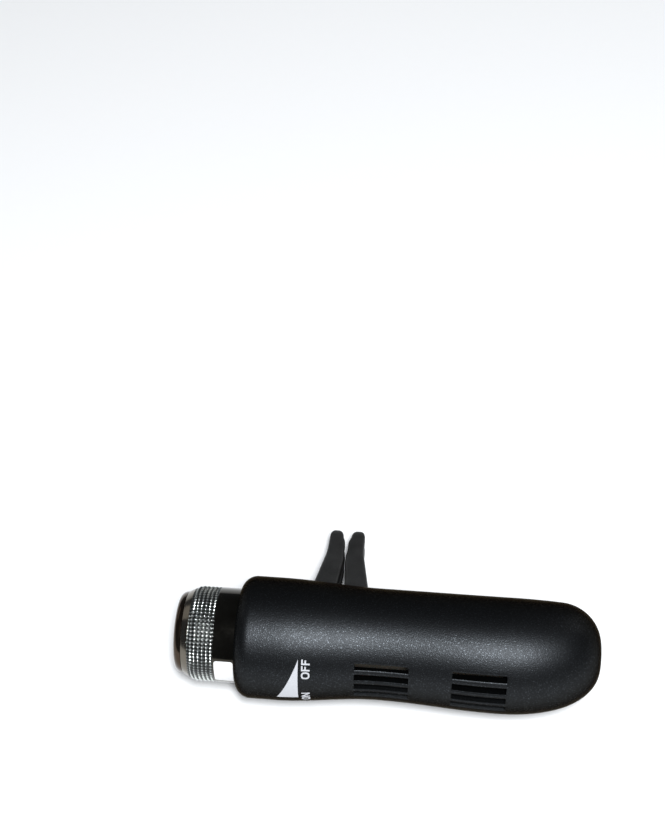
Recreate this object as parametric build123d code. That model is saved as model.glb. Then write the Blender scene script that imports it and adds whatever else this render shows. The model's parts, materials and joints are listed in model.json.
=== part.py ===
"""Twist-knob scent diffuser for a car air vent, lying on its side.

Every piece is drawn upright in one working frame, and place() lays the whole
assembly on its side at the end.  The working frame is: +Z along the body from
the closed tail (Z = 0) to the knob, +Y towards the vent clip, -Y the slotted
front, +X the OFF side of the dial and -X the ON side.
Row frame: +X from the knob towards the tail, +Z up, origin in the middle of
the base of the bounding box.  Millimetres throughout.
"""
from build123d import *
import math
import os

# ---- body ---------------------------------------------------------------
BODY_LENGTH = 77.85         # tail to mouth of the housing
BORE_R = 10.0               # main bore, where the shutter turns
BORE_FLOOR = 0.154 * BODY_LENGTH    # height of the ledge that the shutter stands on
MOUTH_R = BORE_R + 0.75     # counterbore that takes the retaining ring
MOUTH_DEPTH = 4.5
MOUTH_EDGE_ROUND = 0.25
SHOULDER_R = MOUTH_R + 2.4  # largest radius, just below the mouth
SHOULDER_ROUND = 3.3        # rounding of the lip
SHOULDER_CYLINDER = 5.5     # straight stretch below the rounding
WAIST_FRONT = BORE_R + 1.44 # front surface from the axis, at the waist
WAIST_BACK = BORE_R + 2.38  # back surface from the axis, at the waist
WAIST_AT = 0.605            # share of the body length where the waist lies
BULGE_FRONT = BORE_R + 2.70 # front surface from the axis, at the tail bulge
BULGE_BACK = BORE_R + 2.08  # back surface from the axis, at the tail bulge
BULGE_SWELL = 0.2           # extra back radius at the very tail
BULGE_AT = 0.277            # share of the body length where the bulge lies
NOSE_FRONT_LENGTH = 0.27 * BODY_LENGTH   # length of the long front rounding of the tail
NOSE_BACK_LENGTH = 0.109 * BODY_LENGTH   # length of the tight back rounding of the tail
NOSE_FLAT_FRONT = 1.5       # front edge of the flat end, from the axis
NOSE_FLAT_BACK = 3.8        # back edge of the flat end, from the axis
NOSE_STEPS = 6              # sections drawn over the tight rounding
BARREL_STEPS = 14           # sections drawn from there to the shoulder
SUMP_R = BORE_R - 4.0       # pocket in the tail for the pad
SUMP_FLOOR = 0.054 * BODY_LENGTH
PAD_GAP = 0.6               # top of the pad below the ledge
PAD_CHAMFER = 0.4

# ---- air slots -----------------------------------------------------------
SLOT_COUNT = 4              # slots in each group
SLOT_PITCH = 13.0           # degrees
SLOT_WIDTH = 1.5
SLOT_LENGTH = 0.1464 * BODY_LENGTH
SLOT_CENTRES = (0.3301 * BODY_LENGTH, 0.5934 * BODY_LENGTH)   # heights of the two groups
SLOT_HALF_SPREAD = (SLOT_COUNT - 1) / 2 * SLOT_PITCH

# ---- shutter ---------------------------------------------------------------
SHUTTER_CLEARANCE = 0.09    # running clearance in the bore
SHUTTER_WALL = 0.95
SHUTTER_FLOOR = 1.0
SHUTTER_R = BORE_R - SHUTTER_CLEARANCE
SHUTTER_BORE_R = SHUTTER_R - SHUTTER_WALL
WINDOW_OVERLAP = 0.4        # degrees of window beyond the outermost slots
WINDOW_HALF_ANGLE = SLOT_HALF_SPREAD + math.degrees(SLOT_WIDTH / 2 / BORE_R) + WINDOW_OVERLAP
WINDOW_MARGIN = 0.5         # window beyond the slot at each end
RIB_DEPTH = 0.8             # drive ribs inside the shutter
RIB_ROOT = 0.3              # part of a rib sunk in the shutter's wall
RIB_WIDTH = 2.0
RIB_LENGTH = 12.0
FACE_GAP = 0.1              # between faces that turn on each other

# ---- dial ------------------------------------------------------------------
TRAVEL_TO_ON = 16.0         # degrees from rest to fully open

# ---- knob ------------------------------------------------------------------
KNOB_R = BORE_R + 0.2       # clears the counterbore of the mouth
KNOB_HEIGHT = 13.15         # knob above the mouth of the housing
KNOB_WALL = 0.75            # metal skins of the knob
NECK_HEIGHT = 0.331 * KNOB_HEIGHT   # smooth neck above the mouth
NECK_INSERT = 2.9           # neck below the mouth
KNURL_HEIGHT = 0.426 * KNOB_HEIGHT
KNURL_TAPER = 0.6           # radius lost over the taper at the top of the band
KNURL_TAPER_HEIGHT = 0.3 * KNURL_HEIGHT
KNURL_MID_TAPER = 0.15      # radius lost half way up the taper
TRIM_HEIGHT = 0.110 * KNOB_HEIGHT   # smooth bevelled ring between knurl and end disc
TRIM_BEVEL = 0.75           # radius lost over the bevel
TRIM_LEDGE = 0.1            # step from the bevel's top in to the disc
TRIM_BORE = 1.0             # disc radius beyond the ring's bore
DISC_HEIGHT = KNOB_HEIGHT - NECK_HEIGHT - KNURL_HEIGHT - TRIM_HEIGHT
DISC_EDGE_ROUND = 0.86 * DISC_HEIGHT
DISC_BOSS_R = 3.0
DISC_BOSS_LENGTH = 3.0
SPIGOT_CLEARANCE = 0.1      # knob spigot inside the shutter
SPIGOT_LENGTH = 10.0        # spigot below the neck
DRIVE_CLEARANCE = 0.1       # drive slot around a rib
DRIVE_SLOT_SPARE = 0.3      # drive slot beyond the top of a rib
MARK_ANGLE = 39.0           # width of the white index mark
MARK_MARGIN = 0.35          # mark below the top of the neck
MARK_HEIGHT = NECK_HEIGHT - 0.25
MARK_DEPTH = 0.35
MARK_AT = -9.0              # centre of the mark from the front, at rest
O_RING_R = 0.5
O_RING_PROUD = 0.25         # seal standing out of its groove
GROOVE_HALF_HEIGHT = 0.7
RING_BORE_GAP = 0.25        # retaining ring's bore beyond the shutter's bore

# ---- cartridge ---------------------------------------------------------------
CAGE_R = SHUTTER_BORE_R - 2.06
CAGE_WALL = 0.9
CAGE_WINDOWS = 6
CAGE_BAR_ANGLE = 18.0       # degrees of wall left between windows
CAGE_BAND = 4.0             # closed band between the rows of windows
CAGE_LIFT = 0.8             # cage above the shutter's floor
COLLAR_HEIGHT = 8.0
COLLAR_DROP = 1.0           # collar below the end of the spigot
COLLAR_ROOF = 2.0
COLLAR_CHAMFER = 0.5
CORE_CLEARANCE = 0.15
CORE_CHAMFER = 0.4
PLUG_HEIGHT = 2.0
PLUG_CHAMFER = 0.3
SOCKET_CLEARANCE = 0.05
SOCKET_SPARE = 6.0          # socket beyond the collar

# ---- vent clip ----------------------------------------------------------------
CLIP_AT = 0.7335 * BODY_LENGTH   # height of the clip's centre
CLIP_SEAT = WAIST_BACK + 1.62    # axis of the body to the top of the clip base
CLIP_REACH = CLIP_SEAT + 20.8    # axis of the body to the finger tips
CLIP_HALF_LENGTH = 6.5      # half size of the root along the body
CLIP_HALF_WIDTH = 3.9       # half size of the root across the body
CLIP_CORNER = 1.6           # rounding of the base's corners
ROOT_INSET = 0.1            # finger roots inside the base's outline
TIP_HALF_LENGTH = 4.05
TIP_HALF_WIDTH = 3.2
TIP_ROUND = 1.1
LEAD_IN_START = 0.38        # half gap where the lead-in begins
LEAD_IN_END = 2.0           # half gap at the mouth of the vane slot
LEAD_IN_DEPTH = 4.6
FINGER_GAP = 0.75           # half gap between fingers at the root
PINCH_GAP = 0.2             # half gap where the fingers hold the vane
PINCH_LENGTH = 2.6
BEND_SHARE = 0.58           # share of the finger's length where it bends
BEND_SWELL = 0.35           # finger at the bend beyond its tip
SCREW_R = 1.0
SCREW_HEAD_R = 1.9
SCREW_HEAD_HEIGHT = 0.7
SCREW_TIP_LEFT = 0.7        # wall left under the screw
SCREW_RECESS = (2.2, 0.9, 0.45)  # arms of the cross recess
HEAD_CLEARANCE = 0.2        # round the screw head, between the fingers
HEAD_ACCESS = 1.2           # height of the round opening over the head

# ---- derived heights -------------------------------------------------------------
KNOB_TOP = BODY_LENGTH + KNOB_HEIGHT
NECK_BOTTOM = BODY_LENGTH - NECK_INSERT
NECK_TOP = BODY_LENGTH + NECK_HEIGHT
KNURL_TOP = NECK_TOP + KNURL_HEIGHT
TRIM_TOP = KNURL_TOP + TRIM_HEIGHT
SHOULDER_START = BODY_LENGTH - SHOULDER_ROUND - SHOULDER_CYLINDER
BULGE_HEIGHT = BULGE_AT * BODY_LENGTH
WAIST_HEIGHT = WAIST_AT * BODY_LENGTH
RING_BOTTOM = BODY_LENGTH - MOUTH_DEPTH
RING_TOP = NECK_BOTTOM - FACE_GAP
SHUTTER_BOTTOM = BORE_FLOOR + FACE_GAP
SHUTTER_TOP = RING_BOTTOM - FACE_GAP
SPIGOT_R = SHUTTER_BORE_R - SPIGOT_CLEARANCE
SPIGOT_BOTTOM = NECK_BOTTOM - SPIGOT_LENGTH
RIB_BOTTOM = SPIGOT_BOTTOM - RIB_LENGTH / 2
CORE_R = KNOB_R - KNOB_WALL
DISC_R = KNOB_R - KNURL_TAPER - TRIM_BEVEL - TRIM_LEDGE
TRIM_BORE_R = DISC_R - TRIM_BORE
SOCKET_R = CAGE_R + SOCKET_CLEARANCE
SOCKET_TOP = SPIGOT_BOTTOM + COLLAR_HEIGHT + SOCKET_SPARE
SEAL_HEIGHT = (RING_BOTTOM + RING_TOP) / 2
SEAL_CENTRE_R = SPIGOT_R - O_RING_R + O_RING_PROUD
CAGE_BOTTOM = SHUTTER_BOTTOM + SHUTTER_FLOOR + CAGE_LIFT
CAGE_TOP = SPIGOT_BOTTOM - COLLAR_DROP
COLLAR_TOP = SPIGOT_BOTTOM + COLLAR_HEIGHT
BEND = CLIP_SEAT + BEND_SHARE * (CLIP_REACH - CLIP_SEAT)
CUT = 1.0                   # cutters run this far past what they cut


# ---- helpers -----------------------------------------------------------------------
def tube(outer, inner, low, high):
    """Straight ring between two heights; inner 0 gives a full cylinder."""
    body = Pos(0, 0, low) * Cylinder(outer, high - low, align=(Align.CENTER, Align.CENTER, Align.MIN))
    if inner > 0:
        body -= Pos(0, 0, low - CUT) * Cylinder(
            inner, high - low + 2 * CUT, align=(Align.CENTER, Align.CENTER, Align.MIN))
    return body


def turned(points):
    """Solid turned about Z from a closed outline of (radius, height) points."""
    outline = make_face(Plane.XZ * Polyline(*[(r, z) for r, z in points], close=True))
    return revolve(outline, Axis.Z)


def sector(outer, low, high, centre, half_angle):
    """Wedge about Z: centre in degrees from the front (-Y), positive towards +X."""
    steps = max(2, math.ceil(half_angle / 20))
    rim = []
    for k in range(2 * steps + 1):
        angle = math.radians(centre + half_angle * (k / steps - 1))
        reach = outer / math.cos(math.radians(half_angle / steps / 2))
        rim.append((reach * math.sin(angle), -reach * math.cos(angle)))
    face = make_face(Polyline((0, 0), *rim, close=True))
    return Pos(0, 0, low) * extrude(face, high - low)


def smooth(points, x):
    """Height of a smooth curve through (x, y) points: cosine steps between neighbours."""
    for (x0, y0), (x1, y1) in zip(points, points[1:]):
        if x <= x1:
            share = (1 - math.cos(math.pi * (x - x0) / (x1 - x0))) / 2
            return y0 + (y1 - y0) * share
    return points[-1][1]


# ---- housing -------------------------------------------------------------------------
def nose(height, length, flat, full):
    """Rounding of the tail: a quarter ellipse from the flat end to the full radius."""
    if height >= length:
        return full
    rise = 1 - height / length
    return flat + (full - flat) * math.sqrt(1 - rise * rise)


def front_radius(z):
    """Front surface of the body, measured from the axis."""
    if z < BULGE_HEIGHT:
        return nose(z, NOSE_FRONT_LENGTH, NOSE_FLAT_FRONT, BULGE_FRONT)
    return smooth([(BULGE_HEIGHT, BULGE_FRONT), (WAIST_HEIGHT, WAIST_FRONT),
                   (SHOULDER_START, SHOULDER_R)], z)


def back_radius(z):
    """Back surface of the body, measured from the axis."""
    if z < BULGE_HEIGHT:
        full = BULGE_BACK + BULGE_SWELL * (1 - z / BULGE_HEIGHT)
        return nose(z, NOSE_BACK_LENGTH, NOSE_FLAT_BACK, full)
    return smooth([(BULGE_HEIGHT, BULGE_BACK), (WAIST_HEIGHT, WAIST_BACK),
                   (SHOULDER_START, SHOULDER_R)], z)


def body_stations():
    """Heights of the sections: close together on the tail, wider on the barrel."""
    heights = [NOSE_BACK_LENGTH * (1 - math.cos(math.pi / 2 * k / NOSE_STEPS))
               for k in range(NOSE_STEPS + 1)]
    heights += [NOSE_BACK_LENGTH + (SHOULDER_START - NOSE_BACK_LENGTH) * (k + 1) / BARREL_STEPS
                for k in range(BARREL_STEPS)]
    return heights


def body_blank():
    """Outside of the housing: round sections whose centres wander towards the clip."""
    sections = []
    for z in body_stations():
        front, back = front_radius(z), back_radius(z)
        sections.append(Pos(0, (back - front) / 2, z) * Circle((front + back) / 2))
    barrel = loft(sections)
    lip = tube(SHOULDER_R, 0, SHOULDER_START, BODY_LENGTH)
    lip = fillet(lip.edges().group_by(Axis.Z)[-1], SHOULDER_ROUND)
    return barrel + lip


def slot_angles():
    """Angles of the slots of one group, from the front."""
    return [k * SLOT_PITCH - SLOT_HALF_SPREAD for k in range(SLOT_COUNT)]


def slot_cutters():
    """One block for each air slot, cut straight in towards the axis."""
    cutters = []
    reach = SHOULDER_R + CUT
    for height in SLOT_CENTRES:
        for angle in slot_angles():
            block = Box(SLOT_WIDTH, reach, SLOT_LENGTH, align=(Align.CENTER, Align.MAX, Align.CENTER))
            cutters.append(Pos(0, 0, height) * Rot(0, 0, angle) * block)
    return cutters


def outer_shell(blank):
    """One-piece housing: bore, pad pocket, mouth counterbore, slots and screw hole."""
    shell = blank - tube(BORE_R, 0, BORE_FLOOR, BODY_LENGTH + CUT)
    shell -= tube(SUMP_R, 0, SUMP_FLOOR, BORE_FLOOR + CUT)
    shell -= tube(MOUTH_R, 0, RING_BOTTOM, BODY_LENGTH + CUT)
    for cutter in slot_cutters():
        shell -= cutter
    return shell - screw_shape()


def mouth_ring():
    """Snap ring in the mouth that keeps the shutter in."""
    ring = tube(MOUTH_R, SHUTTER_BORE_R + RING_BORE_GAP, RING_BOTTOM, RING_TOP)
    return chamfer(ring.edges().group_by(Axis.Z)[-1], MOUTH_EDGE_ROUND)


def tail_pad():
    """Felt pad in the tail pocket that catches a drip."""
    pad = tube(SUMP_R, 0, SUMP_FLOOR, BORE_FLOOR - PAD_GAP)
    return chamfer(pad.edges().group_by(Axis.Z)[-1], PAD_CHAMFER)


# ---- shutter --------------------------------------------------------------------------
def shutter_drum():
    """Turning sleeve with one window behind each group of slots and two drive ribs."""
    drum = tube(SHUTTER_R, SHUTTER_BORE_R, SHUTTER_BOTTOM, SHUTTER_TOP)
    drum += tube(SHUTTER_R, SUMP_R, SHUTTER_BOTTOM, SHUTTER_BOTTOM + SHUTTER_FLOOR)
    half = SLOT_LENGTH / 2 + WINDOW_MARGIN
    for height in SLOT_CENTRES:
        drum -= sector(SHUTTER_R + CUT, height - half, height + half, TRAVEL_TO_ON, WINDOW_HALF_ANGLE)
    for side in (-1, 1):
        rib = Box(RIB_DEPTH + RIB_ROOT, RIB_WIDTH, RIB_LENGTH,
                  align=(Align.CENTER, Align.CENTER, Align.MIN))
        at = SHUTTER_BORE_R - (RIB_DEPTH - RIB_ROOT) / 2
        drum += Pos(side * at, 0, RIB_BOTTOM) * rib
    return drum


# ---- knob ------------------------------------------------------------------------------
def knob_core():
    """Plastic carrier of the knob: spigot with drive slots, seal groove and socket."""
    core = tube(CORE_R, 0, NECK_BOTTOM, KNURL_TOP)
    core += tube(SPIGOT_R, 0, SPIGOT_BOTTOM, NECK_BOTTOM)
    core -= tube(SOCKET_R, 0, SPIGOT_BOTTOM - CUT, SOCKET_TOP)
    core -= tube(DISC_BOSS_R, 0, KNURL_TOP - DISC_BOSS_LENGTH, KNURL_TOP + CUT)
    slot = Box(2 * CORE_R, RIB_WIDTH + 2 * DRIVE_CLEARANCE, CUT + RIB_LENGTH / 2 + DRIVE_SLOT_SPARE,
               align=(Align.CENTER, Align.CENTER, Align.MIN))
    inner = tube(SPIGOT_R - RIB_DEPTH - DRIVE_CLEARANCE, 0, SPIGOT_BOTTOM - 2 * CUT, NECK_BOTTOM)
    core -= Pos(0, 0, SPIGOT_BOTTOM - CUT) * slot - inner
    groove_r = SEAL_CENTRE_R - O_RING_R
    return core - tube(SPIGOT_R + CUT, groove_r, SEAL_HEIGHT - GROOVE_HALF_HEIGHT,
                       SEAL_HEIGHT + GROOVE_HALF_HEIGHT)


def knob_o_ring():
    """Rubber seal in the spigot's groove."""
    return Pos(0, 0, SEAL_HEIGHT) * Torus(SEAL_CENTRE_R, O_RING_R)


def mark_shape(outer, inner):
    """Curved rounded tile of the index mark, between two radii."""
    top = NECK_TOP - MARK_MARGIN
    tile = sector(outer + CUT, top - MARK_HEIGHT, top, MARK_AT, MARK_ANGLE / 2)
    return tile & tube(outer, inner, top - MARK_HEIGHT, top)


def knob_skirt():
    """Smooth plated neck, with the shallow pocket of the index mark."""
    skirt = tube(KNOB_R, CORE_R, NECK_BOTTOM, NECK_TOP)
    foot = skirt.edges().filter_by(GeomType.CIRCLE).group_by(Axis.Z)[0]
    skirt = chamfer(foot.sort_by(SortBy.RADIUS)[-1], MOUTH_EDGE_ROUND)
    return skirt - mark_shape(KNOB_R + CUT, KNOB_R - MARK_DEPTH)


def index_mark():
    """White inlay that shows the position of the dial."""
    return mark_shape(KNOB_R, KNOB_R - MARK_DEPTH)


def knurled_ring():
    """Grip ring of the knob: a cylinder that tapers in towards the end disc."""
    taper = KNURL_TOP - KNURL_TAPER_HEIGHT
    return turned([(CORE_R, NECK_TOP), (KNOB_R, NECK_TOP), (KNOB_R, taper),
                   (KNOB_R - KNURL_MID_TAPER, taper + KNURL_TAPER_HEIGHT / 2),
                   (KNOB_R - KNURL_TAPER, KNURL_TOP), (CORE_R, KNURL_TOP)])


def knob_trim_ring():
    """Plain bevelled ring between the knurl and the end disc."""
    return turned([(TRIM_BORE_R, KNURL_TOP), (KNOB_R - KNURL_TAPER, KNURL_TOP),
                   (DISC_R + TRIM_LEDGE, TRIM_TOP), (TRIM_BORE_R, TRIM_TOP)])


def knob_disc():
    """Domed end disc with a locating boss."""
    disc = tube(DISC_R, 0, TRIM_TOP, KNOB_TOP)
    disc = fillet(disc.edges().group_by(Axis.Z)[-1], DISC_EDGE_ROUND)
    shelf = tube(TRIM_BORE_R, 0, KNURL_TOP, TRIM_TOP)
    boss = tube(DISC_BOSS_R, 0, KNURL_TOP - DISC_BOSS_LENGTH, KNURL_TOP)
    return disc + shelf + boss


# ---- cartridge -----------------------------------------------------------------------------
def cartridge_collar():
    """Collar that pushes into the knob's socket."""
    collar = tube(CAGE_R, 0, CAGE_TOP, COLLAR_TOP)
    collar -= tube(CAGE_R - CAGE_WALL, 0, CAGE_TOP - CUT, COLLAR_TOP - COLLAR_ROOF)
    return chamfer(collar.edges().group_by(Axis.Z)[-1], COLLAR_CHAMFER)


def cartridge_cage():
    """Slotted sleeve that lets the scent out, in two rows of windows."""
    cage = tube(CAGE_R, CAGE_R - CAGE_WALL, CAGE_BOTTOM, CAGE_TOP)
    middle = (CAGE_BOTTOM + CAGE_TOP) / 2
    rows = ((CAGE_BOTTOM + CAGE_BAND, middle - CAGE_BAND / 2),
            (middle + CAGE_BAND / 2, CAGE_TOP - CAGE_BAND))
    half = 180 / CAGE_WINDOWS - CAGE_BAR_ANGLE / 2
    for bottom, top in rows:
        for k in range(CAGE_WINDOWS):
            cage -= sector(CAGE_R + CUT, bottom, top, k * 360 / CAGE_WINDOWS, half)
    return cage


def cartridge_plug():
    """Press-in foot of the cartridge."""
    plug = tube(CAGE_R - CAGE_WALL, 0, CAGE_BOTTOM, CAGE_BOTTOM + PLUG_HEIGHT)
    return chamfer(plug.edges().group_by(Axis.Z)[0], PLUG_CHAMFER)


def scent_core():
    """Porous scented rod inside the cage."""
    low = CAGE_BOTTOM + PLUG_HEIGHT
    rod = tube(CAGE_R - CAGE_WALL - CORE_CLEARANCE, 0, low, COLLAR_TOP - COLLAR_ROOF)
    return chamfer(rod.edges().filter_by(GeomType.CIRCLE), CORE_CHAMFER)


# ---- clip -------------------------------------------------------------------------------------
def screw_shape():
    """Countersunk screw, along +Y, from its head in the clip to its tip in the wall."""
    head_top = CLIP_SEAT
    tip = BORE_R + SCREW_TIP_LEFT
    to_clip = Pos(0, 0, CLIP_AT) * Rot(-90, 0, 0)
    shank = to_clip * tube(SCREW_R, 0, tip, head_top)
    head = to_clip * (Pos(0, 0, head_top) * Cone(
        SCREW_R, SCREW_HEAD_R, SCREW_HEAD_HEIGHT, align=(Align.CENTER, Align.CENTER, Align.MAX)))
    return shank + head


def clip_screw():
    """Self-tapping screw with a cross recess."""
    screw = screw_shape()
    for turn in (0, 90):
        arm = Box(*SCREW_RECESS, align=(Align.CENTER, Align.CENTER, Align.MAX))
        screw -= Pos(0, CLIP_SEAT, CLIP_AT) * Rot(-90, 0, 0) * Rot(0, 0, turn) * arm
    return screw


def clip_base(blank):
    """Saddle between the body and the fingers."""
    block = Box(2 * CLIP_HALF_WIDTH, CLIP_SEAT, 2 * CLIP_HALF_LENGTH,
                align=(Align.CENTER, Align.MIN, Align.CENTER))
    block = fillet(block.edges().filter_by(Axis.Y), CLIP_CORNER)
    block = Pos(0, 0, CLIP_AT) * block
    return block - blank - screw_shape()


def side_outline():
    """Finger seen across the body: (along the body, out from the axis), gap at the left."""
    reach, tip, root_edge = CLIP_REACH, TIP_HALF_LENGTH, CLIP_HALF_LENGTH - ROOT_INSET
    lead_in = reach - LEAD_IN_DEPTH
    mouth = (LEAD_IN_END, reach - TIP_ROUND / 2)
    corner = (tip, reach - TIP_ROUND)
    gap = Polyline((FINGER_GAP, CLIP_SEAT), (PINCH_GAP, BEND - PINCH_LENGTH), (PINCH_GAP, BEND),
                   (LEAD_IN_START, BEND + TIP_ROUND), (LEAD_IN_START, lead_in),
                   (LEAD_IN_END / 2, (lead_in + reach) / 2), mouth)
    crown = ThreePointArc(mouth, ((LEAD_IN_END + tip) / 2, reach), corner)
    flank = Spline(corner, (tip + BEND_SWELL, BEND), (root_edge, CLIP_SEAT))
    root = Line((root_edge, CLIP_SEAT), (FINGER_GAP, CLIP_SEAT))
    return make_face(Curve() + [gap, crown, flank, root])


def front_outline():
    """Finger seen along the body: (across the body, out from the axis), gap at the left."""
    reach, tip, root_edge = CLIP_REACH, TIP_HALF_WIDTH, CLIP_HALF_WIDTH - ROOT_INSET
    round_start = (tip - 2 * TIP_ROUND, reach + CUT)
    round_end = (tip, reach - 2 * TIP_ROUND)
    gap = Polyline((FINGER_GAP, CLIP_SEAT), (LEAD_IN_START, BEND), (FINGER_GAP, reach + CUT), round_start)
    crown = ThreePointArc(round_start, (tip - TIP_ROUND / 2, reach - TIP_ROUND / 2), round_end)
    flank = Spline(round_end, (tip + BEND_SWELL, BEND), (root_edge, CLIP_SEAT))
    root = Line((root_edge, CLIP_SEAT), (FINGER_GAP, CLIP_SEAT))
    return make_face(Curve() + [gap, crown, flank, root])


def clip_finger(across, along):
    """One of the four fingers: across = +1 upper or -1 lower, along = +1 knob or -1 tail side."""
    side = Plane((0, 0, 0), x_dir=(0, 0, 1), z_dir=(-1, 0, 0))
    solid = extrude(side * side_outline(), CLIP_HALF_WIDTH + CUT, dir=(1, 0, 0))
    solid &= extrude(front_outline(), CLIP_HALF_LENGTH + CUT, dir=(0, 0, 1))
    access = tube(SCREW_HEAD_R + HEAD_CLEARANCE, 0, CLIP_SEAT - CUT, CLIP_SEAT + HEAD_ACCESS)
    solid -= Rot(-90, 0, 0) * access
    if across < 0:
        solid = mirror(solid, Plane.YZ)
    if along < 0:
        solid = mirror(solid, Plane.XY)
    return Pos(0, 0, CLIP_AT) * solid


# ---- lying on its side ----------------------------------------------------------------------------
def roll_angle():
    """Angle of the clip below horizontal when its finger tips touch the table."""
    reach = CLIP_REACH - TIP_ROUND
    half = TIP_HALF_WIDTH - TIP_ROUND
    drop = math.asin((SHOULDER_R - TIP_ROUND) / math.hypot(reach, half))
    return drop - math.atan2(half, reach)


def lie_angle():
    """Slope of the axis when the shoulder and the tail bulge rest on the table."""
    radius = (BULGE_FRONT + BULGE_BACK) / 2
    return math.atan2(SHOULDER_R - radius, SHOULDER_START - BULGE_HEIGHT)


def lying():
    """Location that lays the working frame on its side, tail towards +X."""
    roll, slope = roll_angle(), lie_angle()
    knobwards = Vector(-math.cos(slope), 0, math.sin(slope))
    clipwards = Vector(0, math.cos(roll), -math.sin(roll))
    off_side = clipwards.cross(knobwards).normalized()
    return Location(Plane((0, 0, 0), x_dir=off_side, z_dir=knobwards))


def build():
    """All the pieces by name, in the working frame."""
    blank = body_blank()
    pieces = {
        "outer_shell": outer_shell(blank),
        "mouth_ring": mouth_ring(),
        "tail_pad": tail_pad(),
        "shutter_drum": shutter_drum(),
        "knob_core": knob_core(),
        "knob_skirt": knob_skirt(),
        "index_mark": index_mark(),
        "knurled_ring": knurled_ring(),
        "knob_trim_ring": knob_trim_ring(),
        "knob_disc": knob_disc(),
        "knob_o_ring": knob_o_ring(),
        "cartridge_collar": cartridge_collar(),
        "cartridge_cage": cartridge_cage(),
        "cartridge_plug": cartridge_plug(),
        "scent_core": scent_core(),
        "clip_base": clip_base(blank),
        "clip_screw": clip_screw(),
    }
    for across, level in ((1, "upper"), (-1, "lower")):
        for along, end in ((1, "knob"), (-1, "tail")):
            pieces[f"clip_finger_{level}_{end}"] = clip_finger(across, along)
    return pieces


def place(pieces):
    """Lay the pieces down and bring the base's middle to the origin."""
    laid = {name: lying() * piece for name, piece in pieces.items()}
    box = Compound(list(laid.values())).bounding_box()
    shift = Pos(-(box.min.X + box.max.X) / 2, -(box.min.Y + box.max.Y) / 2, -box.min.Z)
    return {name: shift * piece for name, piece in laid.items()}, shift * lying()


def main():
    """Write one STEP file for each piece, and print where the working frame lies."""
    os.makedirs("parts", exist_ok=True)
    placed, frame = place(build())
    for name, piece in placed.items():
        export_step(piece, f"parts/{name}.step")
    for label, point in (("tail end", (0, 0, 0)), ("knob end", (0, 0, KNOB_TOP)),
                         ("clip tip", (0, CLIP_REACH, CLIP_AT)), ("clip seat", (0, CLIP_SEAT, CLIP_AT))):
        at = (frame * Pos(*point)).position
        print(f"{label}: {at.X:.3f} {at.Y:.3f} {at.Z:.3f}")
    for label, axis in (("off side", (1, 0, 0)), ("clipwards", (0, 1, 0)), ("knobwards", (0, 0, 1))):
        start, end = (frame * Pos(0, 0, 0)).position, (frame * Pos(*axis)).position
        print(f"{label}: {end.X - start.X:.6f} {end.Y - start.Y:.6f} {end.Z - start.Z:.6f}")


main()
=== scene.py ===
"""Looks of a twist-knob vent diffuser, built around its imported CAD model.

Shapes are worked out in one working frame and laid down at the end: Z runs along the barrel
from the closed tail (Z = 0) to the knob, +Y points to the vent clip, -Y to the slotted front
and +X to the OFF side of the dial.  Angles about Z start at the front and grow towards +X.
Lengths are in metres, written as millimetres times MM.
"""

import json
import math

import bmesh
import bpy
import numpy as np
from bpy.props import FloatProperty, FloatVectorProperty, IntProperty, PointerProperty
from bpy.types import Operator, Panel, PropertyGroup
from mathutils import Matrix, Vector

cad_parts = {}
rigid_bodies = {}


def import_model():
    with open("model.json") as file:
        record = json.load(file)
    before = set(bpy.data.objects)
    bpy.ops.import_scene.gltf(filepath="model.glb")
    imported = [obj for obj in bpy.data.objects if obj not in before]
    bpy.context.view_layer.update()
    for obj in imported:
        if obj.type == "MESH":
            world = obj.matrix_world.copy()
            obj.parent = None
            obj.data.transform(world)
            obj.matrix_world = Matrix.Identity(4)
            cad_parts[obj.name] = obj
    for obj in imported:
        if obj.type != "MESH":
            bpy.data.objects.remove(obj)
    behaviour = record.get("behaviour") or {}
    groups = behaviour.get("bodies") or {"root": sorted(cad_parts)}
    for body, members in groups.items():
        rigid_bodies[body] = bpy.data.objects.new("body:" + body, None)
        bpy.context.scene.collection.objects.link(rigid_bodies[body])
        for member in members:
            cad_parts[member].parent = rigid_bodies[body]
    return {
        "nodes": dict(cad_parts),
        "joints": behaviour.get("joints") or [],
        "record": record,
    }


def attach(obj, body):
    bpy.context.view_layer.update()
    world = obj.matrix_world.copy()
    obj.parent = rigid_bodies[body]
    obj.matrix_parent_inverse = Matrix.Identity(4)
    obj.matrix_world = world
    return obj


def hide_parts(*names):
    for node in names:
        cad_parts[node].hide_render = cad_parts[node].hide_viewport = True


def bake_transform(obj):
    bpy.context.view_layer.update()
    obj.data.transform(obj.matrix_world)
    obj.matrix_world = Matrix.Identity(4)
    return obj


bl_info = {
    "name": "Vent diffuser looks",
    "version": (1, 0, 0),
    "blender": (4, 5, 0),
    "location": "3D View > Sidebar > Diffuser",
    "description": "Builds the barrel, knob, refill and clip of a vent diffuser around its CAD frame",
    "category": "Object",
}

MM = 0.001
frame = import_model()
for leftover in [o for o in bpy.data.objects if o.type != "EMPTY" and o.name not in frame["nodes"]]:
    bpy.data.objects.remove(leftover)
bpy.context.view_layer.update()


# ---- working frame ---------------------------------------------------------------------
def unit(vector):
    """Vector of length one."""
    vector = np.asarray(vector, float)
    return vector / np.linalg.norm(vector)


TURN = next(j for j in frame["joints"] if j["name"] == "knob_turn")
MOUNTS = {m["name"]: m for m in frame["record"]["mounts"]}
KNOBWARDS = unit(TURN["axis"])
CLIPWARDS = unit(MOUNTS["vane_slot_across"]["axis"])
TO_ROW = np.column_stack([np.cross(CLIPWARDS, KNOBWARDS), CLIPWARDS, KNOBWARDS])
ON_AXIS = np.array(TURN["pos_m"])
TAIL_FOOT = ON_AXIS + KNOBWARDS * ((np.array(MOUNTS["tail_face"]["pos_m"]) - ON_AXIS) @ KNOBWARDS)


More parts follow.
